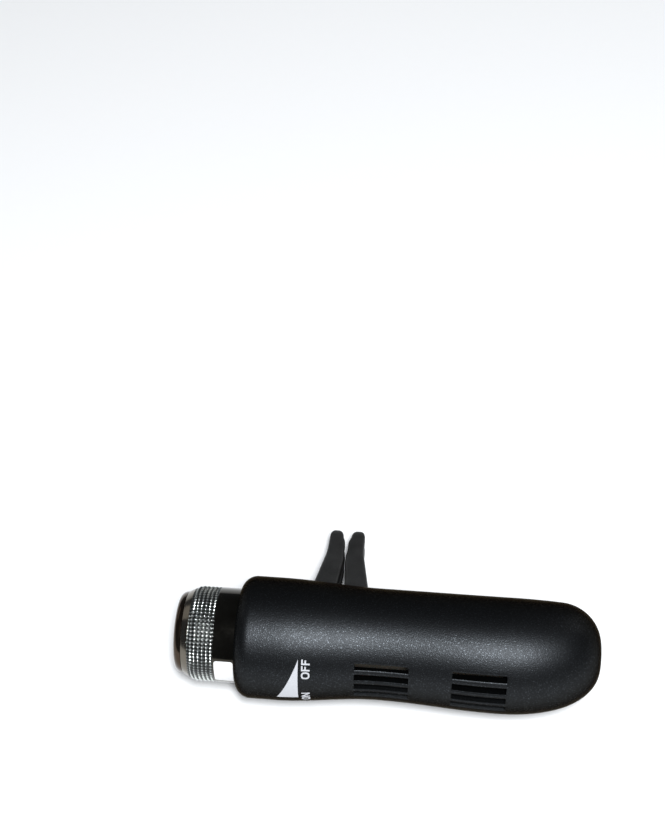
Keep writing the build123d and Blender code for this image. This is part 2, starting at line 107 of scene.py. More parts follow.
def to_row(points):
    """Working frame to row frame."""
    return np.asarray(points, float) @ TO_ROW.T + TAIL_FOOT


def span(node):
    """Lowest and highest corner of a CAD node in the working frame."""
    mesh = frame["nodes"][node].data
    points = np.empty(len(mesh.vertices) * 3, np.float32)
    mesh.vertices.foreach_get("co", points)
    working = (points.reshape(-1, 3) - TAIL_FOOT) @ TO_ROW
    return working.min(axis=0), working.max(axis=0)


SHELL_LOW, SHELL_HIGH = span("outer_shell")
NECK_LOW, NECK_HIGH = span("knob_skirt")
KNURL_LOW, KNURL_HIGH = span("knurled_ring")
TRIM_LOW, TRIM_HIGH = span("knob_trim_ring")
DISC_LOW, DISC_HIGH = span("knob_disc")
MARK_LOW, MARK_HIGH = span("index_mark")
RING_LOW, RING_HIGH = span("mouth_ring")
CORE_LOW, CORE_HIGH = span("knob_core")
BASE_LOW, BASE_HIGH = span("clip_base")
FINGER_LOW, FINGER_HIGH = span("clip_finger_upper_knob")
MOUTH = SHELL_HIGH[2]
KNOB_R = NECK_HIGH[0]
DISC_R = DISC_HIGH[0]
CLIP_AT = (BASE_LOW[2] + BASE_HIGH[2]) / 2


# ---- sizes and colours that a user may change --------------------------------------------
def length(name, description, default):
    """Length property."""
    return FloatProperty(name=name, description=description, default=default, unit="LENGTH", precision=5)


def colour(name, description, default):
    """Linear colour property."""
    return FloatVectorProperty(name=name, description=description, default=default, size=3,
                               subtype="COLOR", min=0.0, max=1.0)


class DiffuserBarrel(PropertyGroup):
    """Shape of the barrel."""
    shoulder_r: length("Shoulder radius", "Largest radius, below the mouth", SHELL_HIGH[0])
    lip_round: length("Lip rounding", "Rounding of the mouth", 3.3 * MM)
    shoulder_length: length("Shoulder length", "Straight stretch below the lip", 5.5 * MM)
    waist_front: length("Waist, front", "Front surface from the axis at the waist", 11.44 * MM)
    waist_back: length("Waist, back", "Back surface from the axis at the waist", 12.38 * MM)
    waist_at: length("Waist height", "Height of the waist above the tail", 47.1 * MM)
    bulge_front: length("Bulge, front", "Front surface from the axis at the bulge", 12.70 * MM)
    bulge_back: length("Bulge, back", "Back surface from the axis at the bulge", 12.08 * MM)
    bulge_at: length("Bulge height", "Height of the bulge above the tail", 21.6 * MM)
    bulge_swell: length("Bulge swell", "Extra back radius at the very tail", 0.2 * MM)
    nose_front: length("Front nose length", "Long front rounding of the tail", 21.0 * MM)
    nose_back: length("Back nose length", "Tight back rounding of the tail", 8.5 * MM)
    flat_front: length("Tail flat, front", "Front edge of the flat end", 1.5 * MM)
    flat_back: length("Tail flat, back", "Back edge of the flat end", 3.8 * MM)
    bore_r: length("Bore radius", "Main bore", 10.0 * MM)
    bore_floor: length("Bore floor", "Height of the ledge under the shutter", 12.0 * MM)
    sump_r: length("Pad pocket radius", "Pocket in the tail", 6.0 * MM)
    sump_floor: length("Pad pocket floor", "Height of the pocket's floor", 4.2 * MM)
    mouth_r: length("Mouth radius", "Counterbore at the mouth", RING_HIGH[0])
    slot_pitch: FloatProperty(name="Slot pitch", description="Angle between air slots",
                              default=math.radians(13.0), unit="ROTATION")
    slot_count: IntProperty(name="Slots", description="Air slots in each group", default=4, min=1)
    slot_width: length("Slot width", "Width of an air slot", 1.5 * MM)
    slot_length: length("Slot length", "Length of an air slot", 11.4 * MM)
    slot_low: length("Lower slots", "Height of the lower group's middle", 25.7 * MM)
    slot_high: length("Upper slots", "Height of the upper group's middle", 46.2 * MM)
    rim: length("Slot rim", "Width of a slot's softened edge", 0.16 * MM)
    rim_drop: length("Slot rim drop", "How far a slot's softened edge is sunk", 0.11 * MM)
    corner: length("Pocket corner", "Rounding at the floor of the pad pocket", 0.5 * MM)


class DiffuserDial(PropertyGroup):
    """Printed dial on the barrel and mark on the neck."""
    ramp_base: length("Ramp base", "Height of the ramp's straight edge", 63.6 * MM)
    ramp_height: length("Ramp height", "Height of the ramp's thick end", 4.6 * MM)
    ramp_on: FloatProperty(name="Ramp, ON end", description="Angle of the thick end",
                           default=math.radians(-24.5), unit="ROTATION")
    ramp_off: FloatProperty(name="Ramp, OFF end", description="Angle of the tip",
                            default=math.radians(26.0), unit="ROTATION")
    letter: length("Letter height", "Height of the legends", 1.8 * MM)
    letter_gap: length("Legend gap", "Gap between ramp and legends", 0.7 * MM)
    lift: length("Print thickness", "How far the print stands proud", 0.025 * MM)
    mark_at: FloatProperty(name="Mark angle", description="Centre of the index mark",
                           default=math.radians(-9.0), unit="ROTATION")
    mark_width: FloatProperty(name="Mark width", description="Angle that the index mark covers",
                              default=math.radians(38.0), unit="ROTATION")
    mark_corner: length("Mark corner", "Corner radius of the index mark", 0.6 * MM)


class DiffuserKnob(PropertyGroup):
    """Knob details."""
    knurl_count: IntProperty(name="Knurls", description="Diamonds round the band", default=75, min=12)
    knurl_pitch: length("Knurl pitch", "Pitch of the diamonds along the axis", 0.88 * MM)
    knurl_depth: length("Knurl depth", "Depth of the knurl's grooves", 0.25 * MM)
    edge: length("Edge rounding", "Rounding of plated edges", 0.18 * MM)
    disc_round: length("Disc rounding", "Rounding of the end disc", 1.5 * MM)
    disc_dish: length("Disc dish", "How far the end disc's face dips", 0.21 * MM)


class DiffuserClip(PropertyGroup):
    """Clip details."""
    root_gap: length("Root gap", "Half gap between the fingers at the root", 0.92 * MM)
    pinch: length("Pinch", "Half gap where a vane is held", 0.2 * MM)
    pocket: length("Pocket", "Half gap past the pinch", 0.38 * MM)
    lead_in: length("Lead-in", "Half gap below the rounded tips", 1.1 * MM)
    peak: length("Tip peak", "Highest point of a tip, from the clip's middle", 2.65 * MM)
    tip_length: length("Tip, along", "Outer half size of the tips along the barrel", 4.05 * MM)
    tip_width: length("Tip, across", "Outer half size of the tips across the barrel", 3.08 * MM)
    tip_dome: length("Tip dome", "Height of the rounded tip", 2.6 * MM)


class DiffuserColours(PropertyGroup):
    """Colours of the finishes."""
    barrel: colour("Barrel", "Black metallic lacquer", (0.0245, 0.0262, 0.0282))
    barrel_fleck: colour("Barrel fleck", "Bright flecks in the lacquer", (0.078, 0.087, 0.096))
    clip: colour("Clip", "Moulded clip", (0.0045, 0.0045, 0.0042))
    plating: colour("Plating", "Black plating of the neck", (0.034, 0.031, 0.025))
    # painted reflection: the brown in the end plating's colour stands in for brown surroundings that the
    # disc mirrors
    disc: colour("End plating", "Smoky plating of the end disc", (0.058, 0.041, 0.029))
    # painted highlight: the bevelled ring's plating is made lighter and beige to stand for a line of
    # light along the step
    bevel: colour("Bevel plating", "Lighter plating of the bevelled ring", (0.15, 0.135, 0.11))
    knurl: colour("Knurl", "Plating of the grip band", (0.86, 0.90, 0.87))
    print: colour("Print", "Dial", (0.56, 0.57, 0.60))
    mark: colour("Mark", "Index mark on the neck", (0.90, 0.90, 0.90))
    refill: colour("Refill", "Refill holder", (0.022, 0.022, 0.023))
    fibre: colour("Scent rod", "Porous rod", (0.11, 0.095, 0.075))
    floor: colour("Floor", "Studio floor", (0.96, 0.96, 0.96))


class DiffuserStage(PropertyGroup):
    """Camera and lights."""
    lens: FloatProperty(name="Lens", description="Focal length in millimetres", default=65.93, min=1.0)
    azimuth: FloatProperty(name="Azimuth", description="Camera heading, 0 looks along +Y",
                           default=math.radians(8.472), unit="ROTATION")
    elevation: FloatProperty(name="Elevation", description="Camera height angle",
                             default=math.radians(52.288), unit="ROTATION")
    roll: FloatProperty(name="Roll", description="Camera roll", default=math.radians(-3.883),
                        unit="ROTATION")
    distance: length("Distance", "Camera to the point it looks at", 380.2 * MM)
    target: FloatVectorProperty(name="Target", description="Point on the floor that the camera looks at",
                                default=(-19.4 * MM, 62.92 * MM, 0.0), size=3, unit="LENGTH")
    floor_size: length("Floor size", "Side of the floor", 8.0)


def settings(group):
    """One of the property groups of the scene."""
    return getattr(bpy.context.scene, "diffuser_" + group)


# ---- meshes --------------------------------------------------------------------------------
def outward(points, faces):
    """Faces of a closed mesh, all turned over if the volume they enclose comes out negative."""
    volume = 0.0
    for part in faces:
        for k in range(1, part.shape[1] - 1):
            a, b, c = points[part[:, 0]], points[part[:, k]], points[part[:, k + 1]]
            volume += float(np.sum(a * np.cross(b, c)))
    return [part[:, ::-1] for part in faces] if volume < 0 else faces


def make_piece(name, points, faces, material, sharp=35.0, reorient=True, mend=False):
    """New mesh object from working-frame points and arrays of quads and triangles.

    Faces sharper than the given angle keep a crisp edge.  mend drops unused points and lets
    bmesh turn each face outwards, for a mesh whose walls were joined edge by edge.
    """
    placed = to_row(points)
    if reorient:
        faces = outward(placed, faces)
    mesh = bpy.data.meshes.new(name)
    loops = np.concatenate([part.ravel() for part in faces])
    sizes = np.concatenate([np.full(len(part), part.shape[1]) for part in faces])
    mesh.vertices.add(len(placed))
    mesh.vertices.foreach_set("co", placed.astype(np.float32).ravel())
    mesh.loops.add(len(loops))
    mesh.loops.foreach_set("vertex_index", loops.astype(np.int32))
    mesh.polygons.add(len(sizes))
    mesh.polygons.foreach_set("loop_start", (np.cumsum(sizes) - sizes).astype(np.int32))
    mesh.update(calc_edges=True)
    if mend:
        work = bmesh.new()
        work.from_mesh(mesh)
        bmesh.ops.delete(work, geom=[v for v in work.verts if not v.link_faces], context="VERTS")
        bmesh.ops.recalc_face_normals(work, faces=work.faces)
        work.to_mesh(mesh)
        work.free()
    mesh.validate()
    mesh.polygons.foreach_set("use_smooth", np.ones(len(mesh.polygons), bool))
    mesh.set_sharp_from_angle(angle=math.radians(sharp))
    mesh.materials.append(material)
    piece = bpy.data.objects.new(name, mesh)
    bpy.context.scene.collection.objects.link(piece)
    return piece


def place(piece, body, slot, *nodes):
    """Piece rides on a body and stands for CAD nodes.  The slot is not used."""
    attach(piece, body)
    if nodes:
        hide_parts(*nodes)
    return piece


def finish_node(node, material):
    """CAD node that keeps its shape gets a better material."""
    frame["nodes"][node].data.materials.clear()
    frame["nodes"][node].data.materials.append(material)


def cells(rows, columns, wrap_rows=False, wrap_columns=True):
    """Quads of a grid of points numbered row by row."""
    i = np.arange(rows if wrap_rows else rows - 1)[:, None]
    j = np.arange(columns if wrap_columns else columns - 1)[None, :]
    i1, j1 = (i + 1) % rows, (j + 1) % columns
    corners = [i * columns + j, i * columns + j1, i1 * columns + j1, i1 * columns + j]
    return np.stack(np.broadcast_arrays(*corners), -1)


def fan(ring, centre):
    """Triangles from a closed ring of points to one centre point."""
    return np.stack([ring, np.roll(ring, -1), np.full(len(ring), centre)], -1)


def lines(low, high, step, marks=(), rim=0.0):
    """Grid lines from low to high, no further apart than step.

    There is a line on every mark and one close by on each side of it.
    """
    fixed = [low, high] + [m + d for m in marks for d in (-rim, 0.0, rim)]
    fixed = np.unique(np.round([f for f in fixed if low <= f <= high], 9))
    runs = [np.linspace(a, b, max(1, math.ceil((b - a) / step)), endpoint=False)
            for a, b in zip(fixed, fixed[1:])]
    return np.append(np.concatenate(runs), high)


def polar(radius, angle, height):
    """Points at a distance from the axis, at an angle from the front, at a height."""
    radius, angle, height = np.broadcast_arrays(radius, angle, height)
    return np.stack([radius * np.sin(angle), -radius * np.cos(angle), height], -1)


def eased(points, x):
    """Smooth curve through (x, y) points: from one to the next, y follows half a cosine wave."""
    xs, ys = np.array(points, float).T
    k = np.clip(np.searchsorted(xs, x, side="right") - 1, 0, len(xs) - 2)
    share = np.clip((x - xs[k]) / (xs[k + 1] - xs[k]), 0, 1)
    return ys[k] + (ys[k + 1] - ys[k]) * (1 - np.cos(math.pi * share)) / 2


def bent(points, x, softness):
    """Straight runs through (x, y) points with soft bends: a moving average of the broken line."""
    xs, ys = np.array(points, float).T
    return np.mean([np.interp(x + d, xs, ys) for d in np.linspace(-softness, softness, 15)], axis=0)


def rounded(corners, steps=6):
    """Closed outline with softened corners.

    Each corner is (radius, height, rounding).  A corner becomes the parabola that leaves one side and
    meets the other, a rounding's length away: (1-t)^2 A + 2t(1-t) C + t^2 B.
    """
    corners = np.array(corners, float)
    t = np.linspace(0, 1, steps + 1)[:, None]
    parts = []
    for k, (r, z, soft) in enumerate(corners):
        corner = np.array([r, z])
        if soft <= 0:
            parts.append(corner[None, :])
            continue
        before, after = corners[k - 1, :2], corners[(k + 1) % len(corners), :2]
        a = corner + unit(before - corner) * soft
        b = corner + unit(after - corner) * soft
        parts.append((1 - t) ** 2 * a + 2 * t * (1 - t) * corner + t ** 2 * b)
    return np.concatenate(parts)


def turned_ring(name, outline, material, columns=240, **options):
    """Ring turned about the axis from a closed outline of (radius, height) points."""
    angle = np.arange(columns) * 2 * math.pi / columns
    points = polar(outline[:, :1], angle[None, :], outline[:, 1:])
    quads = cells(len(outline), columns, wrap_rows=True).reshape(-1, 4)
    return make_piece(name, points.reshape(-1, 3), [quads], material, **options)


def turned_solid(name, outline, material, columns=240, **options):
    """Solid turned about the axis from an open outline that starts and ends on the axis."""
    angle = np.arange(columns) * 2 * math.pi / columns
    body = outline[1:-1]
    points = polar(body[:, :1], angle[None, :], body[:, 1:]).reshape(-1, 3)
    ends = np.array([[0, 0, outline[0, 1]], [0, 0, outline[-1, 1]]])
    count = len(points)
    ring = np.arange(columns)
    quads = cells(len(body), columns).reshape(-1, 4)
    triangles = np.concatenate([fan(ring[::-1], count), fan(ring + count - columns, count + 1)])
    return make_piece(name, np.concatenate([points, ends]), [quads, triangles], material,
                      reorient=False, mend=True, **options)


def pierced(name, radius, height, angle, removed, mirror, material, ends="wrap", **options):
    """Thin wall with windows, from a profile of rings that runs up the outside and down the inside.

    radius and height are arrays of rings by angles.  removed marks the cells of the outer side that are
    windows.  Ring i of the outside lies opposite ring mirror - i of the inside, so each window is cut in
    both and its edge gets a wall across.  ends is "wrap" for a ring, or "caps" for closed ends.
    """
    rings, columns = radius.shape
    points = polar(radius, angle[None, :], height).reshape(-1, 3)
    grid = cells(rings, columns, wrap_rows=ends == "wrap")
    keep = np.ones(grid.shape[:2], bool)
    outer = np.argwhere(removed)
    keep[outer[:, 0], outer[:, 1]] = False
    keep[mirror - outer[:, 0] - 1, outer[:, 1]] = False
    quads = [grid[keep]]
    whole = np.zeros((rings, columns), bool)
    whole[:removed.shape[0]] = removed
    i, j = np.nonzero(whole != np.roll(whole, 1, axis=0))
    j1 = (j + 1) % columns
    quads.append(np.stack([i * columns + j, i * columns + j1,
                           (mirror - i) * columns + j1, (mirror - i) * columns + j], -1))
    i, j = np.nonzero(whole != np.roll(whole, 1, axis=1))
    quads.append(np.stack([i * columns + j, (i + 1) * columns + j,
                           (mirror - i - 1) * columns + j, (mirror - i) * columns + j], -1))
    faces = [np.concatenate(quads)]
    if ends == "caps":
        count = len(points)
        first, last = np.arange(columns), np.arange(columns) + (rings - 1) * columns
        centres = np.stack([points[first].mean(axis=0), points[last].mean(axis=0)])
        points = np.concatenate([points, centres])
        faces.append(np.concatenate([fan(first[::-1], count), fan(last, count + 1)]))
    return make_piece(name, points, faces, material, reorient=False, mend=True, **options)


def window_edges(removed):
    """Points of the outer grid that lie on the edge of a window."""
    around = np.zeros((removed.shape[0] + 1, removed.shape[1]), int)
    for rows in (slice(0, -1), slice(1, None)):
        around[rows] += removed
        around[rows] += np.roll(removed, 1, axis=1)
    return (around > 0) & (around < 4)


# ---- materials -------------------------------------------------------------------------------
def new_group(name, inputs, outputs):
    """Empty shader group with named sockets: (name, kind, default) and (name, kind)."""
    group = bpy.data.node_groups.new(name, "ShaderNodeTree")
    for label, kind, default in inputs:
        socket = group.interface.new_socket(name=label, in_out="INPUT", socket_type=kind)
        if default is not None:
            socket.default_value = default
    for label, kind in outputs:
        group.interface.new_socket(name=label, in_out="OUTPUT", socket_type=kind)
    start, end = group.nodes.new("NodeGroupInput"), group.nodes.new("NodeGroupOutput")
    return group, start, end


def add(tree, kind, values=None, **attributes):
    """New node with its attributes and the values of its input sockets set."""
    node = tree.nodes.new(kind)
    for key, value in attributes.items():
        setattr(node, key, value)
    for key, value in (values or {}).items():
        node.inputs[key].default_value = value
    return node


def grain_group():
    """Fine moulded or sprayed grain: a height to bump, and a mask of its bright flecks."""
    if "Moulded grain" in bpy.data.node_groups:
        return bpy.data.node_groups["Moulded grain"]
    group, start, end = new_group(
        "Moulded grain",
        [("Vector", "NodeSocketVector", None), ("Grains per metre", "NodeSocketFloat", 3500.0)],
        [("Height", "NodeSocketFloat"), ("Fleck", "NodeSocketFloat")])
    fine = add(group, "ShaderNodeTexNoise", {"Detail": 2.0, "Roughness": 0.65})
    cell = add(group, "ShaderNodeTexVoronoi", {"Randomness": 1.0})
    fleck = add(group, "ShaderNodeMapRange", {"From Min": 0.56, "From Max": 0.74})
    mix = add(group, "ShaderNodeMath", {1: 0.55}, operation="MULTIPLY_ADD")
    group.links.new(start.outputs["Vector"], fine.inputs["Vector"])
    group.links.new(start.outputs["Vector"], cell.inputs["Vector"])
    group.links.new(start.outputs["Grains per metre"], fine.inputs["Scale"])
    group.links.new(start.outputs["Grains per metre"], cell.inputs["Scale"])
    group.links.new(fine.outputs["Fac"], fleck.inputs["Value"])
    group.links.new(cell.outputs["Distance"], mix.inputs[0])
    group.links.new(fine.outputs["Fac"], mix.inputs[2])
    group.links.new(mix.outputs[0], end.inputs["Height"])
    group.links.new(fleck.outputs["Result"], end.inputs["Fleck"])
    return group


def handling_group():
    """Marks of handling: broad smudges crossed with fine dust, as one mask."""
    if "Handling marks" in bpy.data.node_groups:
        return bpy.data.node_groups["Handling marks"]
    group, start, end = new_group(
        "Handling marks",
        [("Vector", "NodeSocketVector", None), ("Smudges per metre", "NodeSocketFloat", 90.0),
         ("Cover", "NodeSocketFloat", 0.5)],
        [("Mask", "NodeSocketFloat")])
    smudge = add(group, "ShaderNodeTexNoise", {"Detail": 4.0, "Roughness": 0.55, "Distortion": 0.6})
    streak = add(group, "ShaderNodeTexNoise", {"Scale": 900.0, "Detail": 3.0, "Roughness": 0.7})
    level = add(group, "ShaderNodeMapRange", {"From Max": 0.75})
    both = add(group, "ShaderNodeMath", operation="MULTIPLY")
    group.links.new(start.outputs["Vector"], smudge.inputs["Vector"])
    group.links.new(start.outputs["Vector"], streak.inputs["Vector"])
    group.links.new(start.outputs["Smudges per metre"], smudge.inputs["Scale"])
    group.links.new(start.outputs["Cover"], level.inputs["From Min"])
    group.links.new(smudge.outputs["Fac"], level.inputs["Value"])
    group.links.new(level.outputs["Result"], both.inputs[0])
    group.links.new(streak.outputs["Fac"], both.inputs[1])
    group.links.new(both.outputs[0], end.inputs["Mask"])
    return group


def lathe_group():
    """Fine concentric tool marks about the Z axis of the coordinates it is given."""
    if "Lathe marks" in bpy.data.node_groups:
        return bpy.data.node_groups["Lathe marks"]
    group, start, end = new_group(
        "Lathe marks",
        [("Vector", "NodeSocketVector", None), ("Lines per metre", "NodeSocketFloat", 9000.0)],
        [("Height", "NodeSocketFloat")])
    split = add(group, "ShaderNodeSeparateXYZ")
    flat = add(group, "ShaderNodeCombineXYZ")
    far = add(group, "ShaderNodeVectorMath", operation="LENGTH")
    along = add(group, "ShaderNodeMath", operation="ADD")
    noise = add(group, "ShaderNodeTexNoise", {"Detail": 2.0}, noise_dimensions="1D")
    group.links.new(start.outputs["Vector"], split.inputs[0])
    group.links.new(split.outputs["X"], flat.inputs["X"])
    group.links.new(split.outputs["Y"], flat.inputs["Y"])
    group.links.new(flat.outputs[0], far.inputs[0])
    group.links.new(far.outputs["Value"], along.inputs[0])
    group.links.new(split.outputs["Z"], along.inputs[1])
    group.links.new(along.outputs[0], noise.inputs["W"])
    group.links.new(start.outputs["Lines per metre"], noise.inputs["Scale"])
    group.links.new(noise.outputs["Fac"], end.inputs["Height"])
    return group


class Finish:
    """A material under construction: Object coordinates in, one Principled shader out."""

    def __init__(self, name, **sockets):
        self.material = bpy.data.materials.new(name)
        self.material.use_nodes = True
        self.tree = self.material.node_tree
        self.tree.nodes.clear()
        self.shader = add(self.tree, "ShaderNodeBsdfPrincipled")
        output = add(self.tree, "ShaderNodeOutputMaterial")
        self.link(self.shader.outputs[0], output.inputs["Surface"])
        self.coordinates = add(self.tree, "ShaderNodeTexCoord").outputs["Object"]
        for key, value in sockets.items():
            self.shader.inputs[key.replace("_", " ")].default_value = value

    def link(self, source, target):
        """Join two sockets."""
        self.tree.links.new(source, target)

    def group(self, tree, vector=None, **values):
        """Place a shader group on the given coordinates."""
        node = add(self.tree, "ShaderNodeGroup", node_tree=tree)
        self.link(vector or self.coordinates, node.inputs["Vector"])
        for key, value in values.items():
            node.inputs[key.replace("_", " ")].default_value = value
        return node

    def upright(self):
        """Object coordinates turned into the working frame."""
        turn = Matrix(TO_ROW.T.tolist())
        shift = -(turn @ Vector(TAIL_FOOT))
        mapping = add(self.tree, "ShaderNodeMapping", {"Location": shift, "Rotation": turn.to_euler()})
        self.link(self.coordinates, mapping.inputs["Vector"])
        return mapping.outputs[0]

    def noise(self, scale, detail=2.0, roughness=0.5, vector=None):
        """Noise texture."""
        values = {"Scale": scale, "Detail": detail, "Roughness": roughness}
        node = add(self.tree, "ShaderNodeTexNoise", values)
        self.link(vector or self.coordinates, node.inputs["Vector"])
        return node.outputs["Fac"]

    def tint(self, mask, low, high):
        """Base colour between two colours."""
        mix = add(self.tree, "ShaderNodeMix", data_type="RGBA")
        for socket in mix.inputs:
            if socket.name == "A" and socket.type == "RGBA":
                socket.default_value = (*low, 1)
            if socket.name == "B" and socket.type == "RGBA":
                socket.default_value = (*high, 1)
        self.link(mask, mix.inputs["Factor"])
        colour_out = next(s for s in mix.outputs if s.type == "RGBA")
        self.link(colour_out, self.shader.inputs["Base Color"])
        return colour_out

    def span(self, mask, socket, low, high, less=None, by=0.0):
        """Shader socket between two values, lowered where a second mask is high."""
        level = add(self.tree, "ShaderNodeMapRange", {"To Min": low, "To Max": high})
        self.link(mask, level.inputs["Value"])
        result = level.outputs["Result"]
        if less:
            lower = add(self.tree, "ShaderNodeMath", {1: -by}, operation="MULTIPLY_ADD")
            self.link(less, lower.inputs[0])
            self.link(result, lower.inputs[2])
            result = lower.outputs[0]
        self.link(result, self.shader.inputs[socket])

    def bump(self, height, depth, strength=1.0, after=None):
        """Bump map of a real depth, on top of an earlier one."""
        node = add(self.tree, "ShaderNodeBump", {"Strength": strength, "Distance": depth})
        self.link(height, node.inputs["Height"])
        if after:
            self.link(after, node.inputs["Normal"])
        self.link(node.outputs[0], self.shader.inputs["Normal"])
        return node.outputs[0]


def mixed(colour_a, share, colour_b):
    """Colour part of the way from one to the other."""
    return tuple(a + (b - a) * share for a, b in zip(colour_a, colour_b))


def once(name):
    """A material by name, if an earlier operator made it."""
    return bpy.data.materials.get(name)


def lacquer():
    """Barrel: satin black lacquer whose metal flecks sparkle in the highlight, with handling marks.

    The lacquer reflects like a dark metal whose edge tint keeps grazing reflections low.
    """
    colours = settings("colours")
    finish = Finish("Fleck lacquer black", Metallic=1.0, Specular_Tint=(0.34, 0.30, 0.23, 1.0))
    grain = finish.group(grain_group(), Grains_per_metre=3900.0)
    marks = finish.group(handling_group(), Smudges_per_metre=70.0, Cover=0.5)
    finish.tint(grain.outputs["Fleck"], colours.barrel, colours.barrel_fleck)
    finish.span(marks.outputs["Mask"], "Roughness", 0.44, 0.50, grain.outputs["Fleck"], 0.1)
    orange_peel = finish.bump(finish.noise(420.0), 0.01 * MM, 0.4)
    finish.bump(grain.outputs["Height"], 0.03 * MM, 1.0, orange_peel)
    return finish.material


def clip_plastic():
    """Clip: matte moulded black with a spark-eroded texture."""
    if once("Clip black"):
        return once("Clip black")
    colours = settings("colours")
    finish = Finish("Clip black", Specular_IOR_Level=0.28)
    grain = finish.group(grain_group(), Grains_per_metre=2300.0)
    finish.tint(finish.noise(260.0, 3.0), colours.clip, mixed(colours.clip, 0.02, (1, 1, 1)))
    finish.span(grain.outputs["Fleck"], "Roughness", 0.46, 0.62)
    finish.bump(grain.outputs["Height"], 0.03 * MM, 0.7)
    return finish.material


def inner_plastic():
    """Inner parts: glossier moulded black with flow marks."""
    if once("Inner black"):
        return once("Inner black")
    finish = Finish("Inner black", Specular_IOR_Level=0.5)
    marks = finish.group(handling_group(), Smudges_per_metre=160.0, Cover=0.42)
    finish.tint(finish.noise(120.0, 3.0), (0.009, 0.009, 0.010), (0.018, 0.018, 0.019))
    finish.span(marks.outputs["Mask"], "Roughness", 0.24, 0.42)
    finish.bump(finish.noise(600.0, 2.0), 0.01 * MM, 0.5)
    return finish.material


def plated_knurl():
    """Grip band: plating that is bright on the points, with painted shade darkening the grooves."""
    colours = settings("colours")
    finish = Finish("Plated knurl", Metallic=1.0)
    height = add(finish.tree, "ShaderNodeAttribute", attribute_name="knurl_height").outputs["Fac"]
    bright = add(finish.tree, "ShaderNodeMapRange", {"From Min": 0.05, "From Max": 0.8})
    finish.link(height, bright.inputs["Value"])
    # painted shade: where the knurl height is low, in the grooves and at the band's ends, the base colour
    # drops close to black
    finish.tint(bright.outputs["Result"], mixed(colours.knurl, 0.94, (0, 0, 0)), colours.knurl)
    finish.span(height, "Roughness", 0.32, 0.14)
    finish.bump(finish.noise(2500.0, 3.0), 0.01 * MM, 0.4)
    return finish.material


def plating(name, metal, rough_low, rough_high, lathe_depth):
    """Plated metal: dark mirror with faint lathe marks and handling smudges."""
    finish = Finish(name, Metallic=1.0)
    marks = finish.group(handling_group(), Smudges_per_metre=120.0, Cover=0.38)
    lathe = finish.group(lathe_group(), finish.upright(), Lines_per_metre=7000.0)
    finish.tint(marks.outputs["Mask"], metal, mixed(metal, 0.12, (0.5, 0.47, 0.42)))
    finish.span(marks.outputs["Mask"], "Roughness", rough_low, rough_high)
    finish.bump(lathe.outputs["Height"], lathe_depth, 0.4)
    return finish.material


def print_white(name, white):
    """Pad-printed white with a slightly uneven cover."""
    finish = Finish(name, Specular_IOR_Level=0.4)
    cover = finish.noise(900.0, 3.0, 0.6)
    finish.tint(cover, mixed(white, 0.06, (0, 0, 0)), white)
    finish.span(cover, "Roughness", 0.34, 0.5)
    finish.bump(finish.noise(2600.0), 0.006 * MM, 0.5)
    return finish.material


def seal_rubber():
    """Seal: dull black rubber."""
    finish = Finish("Seal rubber", Specular_IOR_Level=0.35)
    bloom = finish.noise(700.0, 4.0, 0.6)
    finish.tint(bloom, (0.012, 0.012, 0.012), (0.035, 0.034, 0.033))
    finish.span(bloom, "Roughness", 0.55, 0.75)
    finish.bump(finish.noise(3000.0), 0.01 * MM, 0.6)
    return finish.material


def pressed_felt():
    """Drip pad: pressed grey felt."""
    finish = Finish("Pressed felt", Roughness=0.95, Sheen_Weight=0.4)
    fibre = finish.noise(2400.0, 6.0, 0.75)
    finish.tint(fibre, (0.22, 0.21, 0.2), (0.5, 0.48, 0.45))
    finish.bump(fibre, 0.18 * MM, 0.9)
    return finish.material


def scent_fibre():
    """Scent rod: bonded fibre, slightly darker where it is soaked."""
    colours = settings("colours")
    finish = Finish("Scent fibre", Roughness=0.85, Subsurface_Weight=0.1, Subsurface_Scale=0.5 * MM)
    fibre = finish.noise(1500.0, 8.0, 0.8)
    soaked = finish.noise(60.0, 3.0)
    both = add(finish.tree, "ShaderNodeMath", operation="MULTIPLY")
    finish.link(fibre, both.inputs[0])
    finish.link(soaked, both.inputs[1])
    level = add(finish.tree, "ShaderNodeMapRange", {"From Min": 0.1, "From Max": 0.5})
    finish.link(both.outputs[0], level.inputs["Value"])
    finish.tint(level.outputs["Result"], mixed(colours.fibre, 0.45, (0, 0, 0)), colours.fibre)
    finish.bump(fibre, 0.12 * MM, 0.8)
    return finish.material


def refill_plastic():
    """Refill holder: charcoal polypropylene that lets a little light through."""
    if once("Refill plastic"):
        return once("Refill plastic")
    colours = settings("colours")
    finish = Finish("Refill plastic", Subsurface_Weight=0.25, Subsurface_Scale=1.0 * MM,
                    Specular_IOR_Level=0.45)
    cloud = finish.noise(200.0, 4.0, 0.6)
    marks = finish.group(handling_group(), Smudges_per_metre=150.0, Cover=0.4)
    finish.tint(cloud, mixed(colours.refill, 0.12, (0.5, 0.5, 0.45)), colours.refill)
    finish.span(marks.outputs["Mask"], "Roughness", 0.3, 0.5)
    finish.bump(finish.noise(800.0), 0.015 * MM, 0.5)
    return finish.material


def zinc_steel():
    """Screw: zinc-plated steel."""
    finish = Finish("Zinc steel", Metallic=1.0)
    cloud = finish.noise(1800.0, 5.0, 0.6)
    finish.tint(cloud, (0.32, 0.32, 0.31), (0.55, 0.56, 0.57))
    finish.span(cloud, "Roughness", 0.25, 0.5)
    finish.bump(cloud, 0.01 * MM, 0.6)
    return finish.material


def floor_paint():
    """Studio floor: pale matt paper with a trace of tooth."""
    colours = settings("colours")
    finish = Finish("Floor paper", Specular_IOR_Level=0.2)
    tooth = finish.noise(350.0, 4.0, 0.6)
    finish.tint(tooth, mixed(colours.floor, 0.015, (0, 0, 0)), colours.floor)
    finish.span(tooth, "Roughness", 0.75, 0.85)
    finish.bump(tooth, 0.02 * MM, 0.2)
    return finish.material


